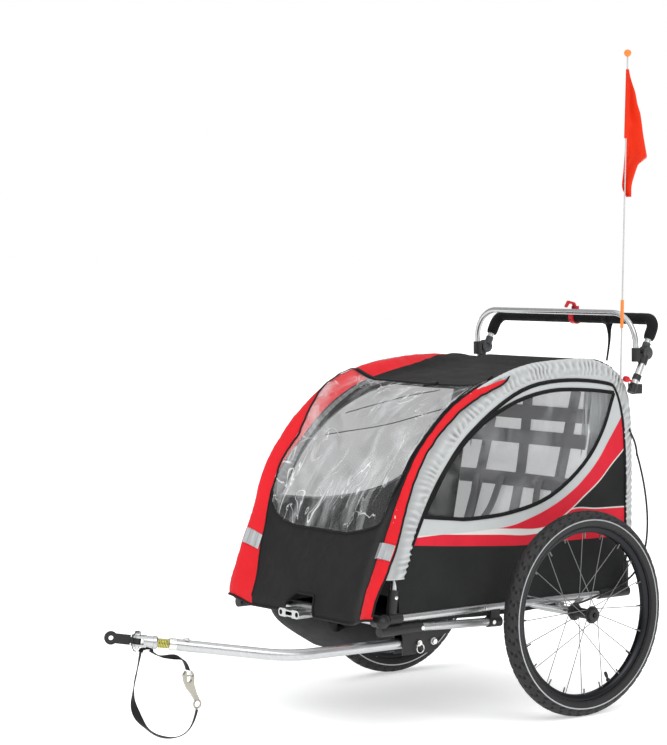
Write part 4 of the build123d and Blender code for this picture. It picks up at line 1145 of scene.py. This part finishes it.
def make_back():
    sheets = (("back_sheet", 0.0, NET_LEVEL, 0.0012, "black_cloth", "back_panel", "black_fabric"),
              ("back_net", NET_LEVEL, 1.0, 0.0, "net", "", "cover_fabric"))
    for name, low, high, thick, key, node, slot in sheets:
        skin = Skin()
        grid(skin, lambda u, v: back_cloth(u, low + v * (high - low)), 40, 24, thick)
        folds_with_frame(skin.make(name, "chassis", key, node, slot))
    skin = Skin()
    shares, behind = [i / 30 for i in range(31)], Vector((0, 0.002, 0))
    for level in (NET_LEVEL, 0.985):
        skin.strap([back_cloth(u, level) + behind for u in shares], 0.020, 0.002, (0, 1, 0))
    for u in (0.006, 0.994):
        skin.strap([back_cloth(u, v) + behind for v in shares], 0.014, 0.003, (0, 1, 0))
    folds_with_frame(skin.make("back_binding", "chassis", "webbing", slot="black_fabric"))


SWELL_FRAMES = 18


def swell(made, pressure, limit):
    """Fills a closed piece by a short cloth simulation with pressure, and keeps up to limit of the move."""
    rest = [v.co.copy() for v in made.data.vertices]
    cloth_modifier = made.modifiers.new("cloth", "CLOTH")
    settings = cloth_modifier.settings
    settings.use_pressure = True
    settings.uniform_pressure_force = pressure
    settings.effector_weights.gravity = 0
    settings.quality = 6
    scene.frame_start, scene.frame_end = 1, SWELL_FRAMES
    for number in range(1, SWELL_FRAMES + 1):
        scene.frame_set(number)
    shown = made.evaluated_get(bpy.context.evaluated_depsgraph_get())
    moved = [v.co.copy() for v in shown.data.vertices]
    made.modifiers.remove(cloth_modifier)
    for vertex, start, end in zip(made.data.vertices, rest, moved):
        shift = end - start
        vertex.co = start + shift * min(1.0, limit / max(shift.length, 1e-9))
    scene.frame_set(1)


def remeshed(made, size):
    """Gives the piece an even mesh with faces of this size."""
    modifier = made.modifiers.new("remesh", "REMESH")
    modifier.mode = "VOXEL"
    modifier.voxel_size = size
    mesh = bpy.data.meshes.new_from_object(made.evaluated_get(bpy.context.evaluated_depsgraph_get()))
    made.modifiers.clear()
    made.data = mesh
    mesh.polygons.foreach_set("use_smooth", [True] * len(mesh.polygons))


def pad_section():
    """Half-width and half-height shares round a pad's end, a softened rectangle."""
    return [(copysign(abs(cos(turn)) ** 0.35, cos(turn)), copysign(abs(sin(turn)) ** 0.6, sin(turn)))
            for turn in turns(28)]


def make_seat():
    """Two padded places on one sling: thin pads for the base, swollen by a short pressure simulation, and the
    sling back above.
    """
    for name, sign in SIDES:
        rings = []
        for i in range(15):
            share = i / 14
            y = -0.100 + 0.175 * share
            half = 0.112 * (1 - 0.10 * (2 * share - 1) ** 6)
            lift = 0.358 - 0.012 * share
            flat = 0.0085 * (1 - abs(2 * share - 1) ** 5 * 0.6)
            rings.append([at(sign * SEAT_X + half * u, y, lift + flat * v) for u, v in pad_section()])
        skin = Skin()
        skin.loft(rings)
        pad = skin.make(name + "_seat_pad", "chassis", "black_cloth", "seat" if sign > 0 else "",
                        "seat_fabric", 60)
        remeshed(pad, 0.006)
        swell(pad, 4.0, 0.007)
        folds_with_frame(pad)
    skin = Skin()
    grid(skin, seat_back, 60, 50, 0.0016)
    folds_with_frame(skin.make("seat_back_cloth", "chassis", "seat_cloth", "", "seat_fabric", 70))


def make_harness():
    """The grey webbing grid on the back, the shoulder straps, the lap straps and their buckles."""
    skin = Skin()
    shares = [i / 40 for i in range(41)]
    for z in (0.713, 0.649, 0.538):
        line = [on_back(-0.230 + 0.46 * share, z, 0.0055) for share in shares]
        skin.strap(line, 0.036, 0.0018, (0, -1, 0.1))
    for top, low in ((-0.138, -0.175), (-0.010, -0.010), (0.169, 0.126)):
        line = [on_back(top + (low - top) * share, 0.775 - 0.355 * share, 0.0035) for share in shares]
        skin.strap(line, 0.036, 0.0018, (0, -1, 0.1))
    folds_with_frame(skin.make("seat_webbing_grid", "chassis", "grey_webbing", "harness", "black_fabric"))
    skin = Skin()
    for middle in (-SEAT_X, SEAT_X):
        for sign in (-1, 1):
            shoulder = [on_back(middle + sign * x, z, lift) for x, z, lift in SHOULDER_STRAP]
            shoulder += [at(middle + sign * x, y, z) for x, y, z in SHOULDER_END]
            skin.strap(through(shoulder, 8), 0.024, 0.0018, (0, -1, 0.35))
            lap = [at(middle + sign * x, y, z) for x, y, z in LAP_STRAP]
            skin.strap(through(lap, 8), 0.024, 0.0018, (0, 0.1, 1))
        buckle = [at(middle + x, 0.004, 0.391) for x in (-0.017, 0, 0.017)]
        skin.strap(buckle, 0.034, 0.009, (0, 0.1, 1), 1)
    folds_with_frame(skin.make("seat_harness", "chassis", "grey_webbing black_plastic", slot="black_fabric"))


def make_cable_end():
    """The sheath's upper end, where it runs into the rear edge of the side."""
    skin = Skin()
    skin.tube(through([at(0.300, 0.2455, 0.616), at(0.2995, 0.2440, 0.632), at(0.2975, 0.2390, 0.652),
                       at(0.2945, 0.2300, 0.672), at(0.2905, 0.2230, 0.690)], 6), 0.0026, 0, 12)
    skin.make("brake_cable_end", "chassis", "cable", slot="cable_black")


def make_gussets():
    """The gathered silver corner between the seat back and each side."""
    for name, sign in SIDES:
        def place(u, v, sign=sign):
            pleat = 0.006 * sin(26 * u + 5 * v + 3 * waver(u * 3, v * 4, 40)) * sin(pi * u)
            y = 0.120 + 0.070 * u * u + 0.035 * v * (1 - u) + pleat
            return at(sign * (0.205 + 0.062 * u), y, 0.400 + v * 0.385)
        skin = Skin()
        grid(skin, place, 40, 50, 0.0014)
        gusset = skin.make(name + "_corner_gusset", "chassis", "silver_cloth", slot="sleeve_fabric")
        folds_with_frame(gusset)


FLOOR = [(-0.272, -0.497), (0.272, -0.497), (0.272, 0.098), (-0.272, 0.098)]
WELL_MOUTH = [(-0.164, -0.479), (0.164, -0.479), (0.164, -0.263), (-0.164, -0.263)]
WELL_Y, WELL_TOP, WELL_DEPTH = -0.382, 0.2590, 0.096


def make_floor():
    def place(x, y):
        return at(x, y, 0.2652 - 0.0025 * (1 + waver(x * 9, y * 9, 50)) * 0.5)
    skin = Skin()
    bent(skin, flat_patch(FLOOR, [WELL_MOUTH], pitch=0.022), place, 0.0016, 0)
    skin.make("floor_cloth", "chassis", "black_cloth", "floor_panel", "black_fabric")


def make_footwell():
    """A tub that hangs under the floor, rounder and narrower towards its bottom."""
    rings = []
    for depth in [i / 16 for i in range(17)]:
        shrink = smooth(depth) * 0.55 + 0.45 * depth ** 3
        half_x, half_y = 0.213 - 0.090 * shrink, 0.176 - 0.062 * shrink
        ring = []
        for turn in turns(84):
            c, s = cos(turn), sin(turn)
            x = -0.027 + 0.020 * shrink + half_x * copysign(abs(c) ** 0.55, c)
            y = WELL_Y + 0.010 * shrink + half_y * copysign(abs(s) ** 0.55, s)
            bulge = 1 + 0.025 * waver(c * 2.2, s * 2.2, depth * 3 + 60)
            ring.append(at(x * bulge, y, WELL_TOP - WELL_DEPTH * depth ** 0.8))
        rings.append(ring)
    middle = at(0, WELL_Y, 0.1655)
    bottom = [[middle.lerp(p, share) for p in rings[-1]] for share in (0.66, 0.33, 0.06)]
    skin = Skin()
    skin.loft(rings, caps=False)
    skin.loft([rings[-1], *bottom], caps=False)
    skin.make("footwell_tub", "chassis", "black_cloth", "footwell", "black_fabric", 60)


# ---- handle, roll bar and flag ----------------------------------------------------------
JOINT_X, JOINT_Y, JOINT_Z = 0.3040, 0.268, 0.873
GRIP_X, GRIP_Y, GRIP_Z = 0.2985, 0.309, 0.957
GEAR_RIBS = [(-0.0100, 0.0040), (-0.0100, 0.0150), (-0.0088, 0.0168), (-0.0012, 0.0168), (-0.0009, 0.0155)]
GEAR_HOUSING = [(0.0012, 0.0155), (0.0015, 0.0168), (0.0100, 0.0168), (0.0122, 0.0150), (0.0128, 0.0090),
                (0.0142, 0.0085), (0.0146, 0.0050), (0.0146, 0.0)]
KNOB = [(0.0, 0.0030), (0.001, 0.0066), (0.005, 0.0082), (0.011, 0.0080), (0.0155, 0.0058), (0.0165, 0.0)]


def teeth(depth, last):
    """Grooves of this depth along the profile's points up to the last."""
    return lambda segment, k: -depth if segment % 4 > 1 and 0 < k < last else 0.0


def make_joints(side, sign):
    """The toothed handle joint, and the red lock pin's knob with its wire and clip."""
    centre, axis = at(sign * JOINT_X, JOINT_Y, JOINT_Z), Vector((sign, 0, 0))
    skin = Skin()
    skin.lathe(centre, axis, GEAR_RIBS, 96, wave=teeth(0.0013, 4))
    skin.make(side + "_gear_ribs", "handle", "grey_plastic", slot="gear_grey")
    skin = Skin()
    skin.lathe(centre, axis, GEAR_HOUSING, 96, wave=teeth(0.0013, 3))
    skin.make(side + "_gear_housing", "rear_bar", "grey_plastic", slot="gear_grey")
    skin = Skin()
    knob, pull = at(sign * 0.311, 0.196, 0.810), Vector((0, -0.96, 0.27)).normalized()
    skin.lathe(knob - pull * 0.008, pull, KNOB, 24, wave=teeth(0.0006, 4))
    skin.make(side + "_pin_knob", "rear_bar", "red_plastic", slot="red_moulding")
    skin = Skin()
    wire = [knob + Vector(step) for step in ((0, 0.004, -0.004), (sign * 0.006, 0.006, -0.018),
                                             (sign * 0.005, 0.016, -0.034), (sign * 0.002, 0.026, -0.036))]
    skin.tube(through([*wire, at(sign * 0.3065, 0.2265, 0.790)], 8), 0.0009, 0, 6)
    post = Vector((0, 0.5, 0.86))
    skin.lathe(at(sign * 0.307, 0.236, 0.812) - post * 0.007, post,
               [(0, 0.0092), (0, 0.0108), (0.014, 0.0108), (0.014, 0.0092)], 24)
    skin.make(side + "_pin_lanyard", "rear_bar", "black_plastic", slot="black_moulding")


def make_grip():
    """The foam sleeve over the push handle, tapered at its ends."""
    corners = [(GRIP_X, 0.2847, 0.9072), (GRIP_X, GRIP_Y, GRIP_Z), (-GRIP_X, GRIP_Y, GRIP_Z),
               (-GRIP_X, 0.2847, 0.9072)]
    route = rounded([at(*corner) for corner in corners], [0.030, 0.030], 0.004)

    def section(share):
        end = min(share, 1 - share) * 2
        return circle(0.0146 - 0.0022 * (1 - smooth(end * 40)) + 0.0003 * waver(share * 40, 0, 70), 20)
    skin = Skin()
    skin.sweep(Track(route).even(0.005), section)
    skin.make("handle_grip", "handle", "foam", "handle_foam", "foam_grip", 50)


def make_wrist_strap():
    skin = Skin()
    top = at(0.128, GRIP_Y, GRIP_Z)
    out = [Vector((0, cos(turn), sin(turn))) for turn in turns(24)]
    skin.sweep([top + 0.0158 * way for way in out], webbing_section(0.020, 0.0016), 0, out, closed=True)
    tail = through([top + Vector(step) for step in ((0, 0.004, -0.0155), (0.001, 0.004, -0.030),
                                                    (0.004, 0.002, -0.055), (0.005, -0.003, -0.085),
                                                    (0.003, -0.006, -0.110))], 8)
    skin.sweep(tail, lambda share: webbing_section(0.006 + 0.022 * (1 - share) ** 3, 0.0024), 0,
               [Vector((0, 1, 0.1))] * len(tail))
    skin.make("wrist_strap", "handle", "webbing", slot="black_fabric")


FLAG_X = 0.299
POLE_EDGE = Track(through([(0.2045, 1.577), (0.2015, 1.480), (0.2000, 1.403), (0.1930, 1.330),
                           (0.1890, 1.284), (0.2080, 1.262)]))
FLY_EDGE = Track([(0.2100, 1.577), (0.2350, 1.500), (0.2600, 1.425), (0.2830, 1.362), (0.2500, 1.343),
                  (0.2130, 1.262)])


def pennant_place(u, v):
    """u runs from the pole to the fly, v down it. The cloth hangs in soft folds from its upper corner."""
    point = POLE_EDGE.at(v * POLE_EDGE.length).lerp(FLY_EDGE.at(v * FLY_EDGE.length), u)
    fold = 0.010 * sin(u * 8.0 + v * 3.5) * smooth(v * 2.5) * smooth(u * 3)
    crease = 0.003 * waver(u * 5, v * 9, 80) * smooth(u * 4)
    return at(FLAG_X + fold + crease, point.x, point.y)


def make_flag():
    skin = Skin()
    skin.loft([[pennant_place(i / 24, j / 60) for i in range(25)] for j in range(61)], 0, loop=False)
    pennant = skin.make("pennant_cloth", "flag", "flag", "flag_pennant", "flag_orange", 80)
    skin = Skin()
    skin.tube([at(FLAG_X, 0.2045 - 0.005 * j / 30, 1.577 - 0.170 * j / 30) for j in range(31)], 0.0036, 0, 12)
    skin.make("pennant_hem", "flag", "flag", slot="flag_orange")


# ---- tow arm and frame fittings -----------------------------------------------------------
EYE = at(0.090, -1.165, 0.272)
ALONG = (at(0.262, -0.805, 0.216) - EYE).normalized()
LEFT = Vector((ALONG.y, -ALONG.x, 0)).normalized()
UPWARD = LEFT.cross(ALONG)
COIL_TURNS, COIL_STEPS = 7.5, 220
FRONT_COLLAR = [(0.0, 0.0134), (0.0, 0.0146), (0.0035, 0.0150), (0.007, 0.0146), (0.007, 0.0134)]
REAR_COLLAR = [(0.0, 0.0134), (0.0, 0.0150), (0.006, 0.0152), (0.009, 0.0128), (0.009, 0.011)]
TUBE_COLLAR = [(0.0, 0.0090), (0.0, 0.0136), (0.0012, 0.0139), (0.016, 0.0139), (0.0168, 0.0132)]


def on_arm(a, x=0.0, z=0.0):
    """A point by distance back from the hitch eye, then left and up of the arm's line."""
    return EYE + ALONG * a + LEFT * x + UPWARD * z


def nut(skin, centre, axis, width, high, slot=0):
    wide = width * 0.56
    profile = [(0.0, 0.0), (0.0, wide), (high * 0.85, wide), (high, width * 0.50), (high, 0.0)]
    skin.lathe(centre, axis, profile, 6, slot)


def make_coupling():
    """The spring and the core in it, between the coupler and the tow arm."""
    coil, core = Skin(), Skin()
    route = []
    for i in range(COIL_STEPS + 1):
        share = i / COIL_STEPS
        turn = 2 * pi * COIL_TURNS * share
        reach = 0.0100 - (0.0006 if 0.05 < share < 0.95 else 0.0)
        route.append(on_arm(0.1015 + 0.0275 * share, reach * cos(turn), reach * sin(turn)))
    coil.tube(route, 0.0015, 0, 8)
    core.tube([on_arm(0.1005 + 0.030 * i / 12) for i in range(13)], 0.0060, 0, 14)
    for piece in (coil.make("coupling_coil", "", "spring", "hitch_spring", "spring_yellow"),
                  core.make("coupling_core", "", "cable", slot="cable_black")):
        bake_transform(piece)


def make_tow_end():
    skin = Skin()
    skin.lathe(on_arm(0.072), ALONG, FRONT_COLLAR, 40)
    skin.lathe(on_arm(0.094), ALONG, REAR_COLLAR, 40)
    nut(skin, on_arm(0.058, 0, 0.0148), UPWARD, 0.013, 0.006)
    skin.make("coupler_collars", "coupler", "aluminium", slot="frame_aluminium")
    skin = Skin()
    fold = through([at(STRAP_X, y, z) for y, z in ((-1.1062, 0.2380), (-1.1025, 0.2438), (-1.0900, 0.2448),
                                                   (-1.0805, 0.2430), (-1.0780, 0.2360))], 6)
    skin.strap(fold, STRAP_WIDTH, 0.0026, (0, -0.7, -0.7))
    nut(skin, at(STRAP_X + 0.002, -1.0910, 0.2440), (0, 0, -1), 0.011, 0.0085, 1)
    skin.make("strap_anchor", "coupler", "webbing zinc", slot="black_fabric")
    skin = Skin()
    wire = through([on_arm(0.058, -0.006, 0.0200), on_arm(0.058, 0.008, 0.0225), on_arm(0.052, 0.016, 0.0215),
                    on_arm(0.046, 0.018, 0.010), on_arm(0.046, 0.0165, -0.008), on_arm(0.052, 0.015, -0.0200),
                    on_arm(0.058, 0.006, -0.0225)], 8)
    skin.tube(wire, 0.0012, 0, 8)
    skin.make("hitch_pin_clip", "coupler", "black_steel", slot="black_steel")
    skin = Skin()
    skin.lathe(on_arm(0.1296), ALONG, TUBE_COLLAR, 40)
    nut(skin, on_arm(0.168, 0, 0.0126), UPWARD, 0.012, 0.0045)
    washer = [(0.0, 0.0), (0.0, 0.0085), (0.0010, 0.0085), (0.0012, 0.0)]
    skin.lathe(on_arm(0.168, 0, 0.0122), UPWARD, washer, 24)
    skin.make("tube_end_fittings", "tow_arm", "zinc", slot="steel_zinc")


def make_fittings():
    """Rivets, washers and bolts on the frame, and the loose strap end under the front window."""
    skin = Skin()
    for sign in (-1, 1):
        for y in (-0.250, -0.155, -0.128, 0.05):
            rivet = [(0.0, 0.0), (0.0, 0.0042), (0.0012, 0.0036), (0.0018, 0.0)]
            skin.lathe(at(sign * 0.2948, y, RAIL_Z), (sign, 0, 0), rivet, 16)
        tee = at(sign * 0.292, -0.524, 0.300) + Vector((0, 0.118, 0.993)) * 0.026
        skin.lathe(tee, (sign, 0, 0), [(-0.001, 0.0), (-0.001, 0.0050), (0.0012, 0.0044), (0.0020, 0.0)], 16)
    skin.make("frame_rivets", "chassis", "zinc", slot="steel_zinc")
    skin = Skin()
    for sign in (-1, 1):
        for y, z in ((-0.446, 0.2495), (-0.226, 0.2414)):
            nut(skin, at(sign * 0.296, y, z), (sign, 0, 0), 0.010, 0.004)
    for x, way in ((0.284, 1), (0.240, -1)):
        nut(skin, at(x, -0.401, 0.212), (way, 0, 0), 0.013, 0.006)
    skin.make("frame_bolts", "chassis", "zinc", slot="steel_zinc")
    skin = Skin()
    tail = through([at(0.095, -0.560, 0.262), at(0.105, -0.566, 0.246), at(0.112, -0.556, 0.236),
                    at(0.118, -0.540, 0.243), at(0.150, -0.530, 0.250)], 8)
    skin.strap(tail, 0.020, 0.0020, (0.2, -1, 0.2))
    skin.make("window_strap_tail", "chassis", "webbing", slot="black_fabric")


set_camera()
make_straps()
set_studio()
lay_floor()
finish_cad()
for name, sign in SIDES:
    make_wheel(name, sign)
    make_sleeve(name, sign)
    make_side(name, sign)
make_cover()
make_front_window()
make_bands()
make_back()
make_seat()
make_harness()
make_gussets()
make_cable_end()
make_floor()
make_footwell()
for name, sign in SIDES:
    make_joints(name, sign)
make_grip()
make_wrist_strap()
make_flag()
make_coupling()
make_tow_end()
make_fittings()
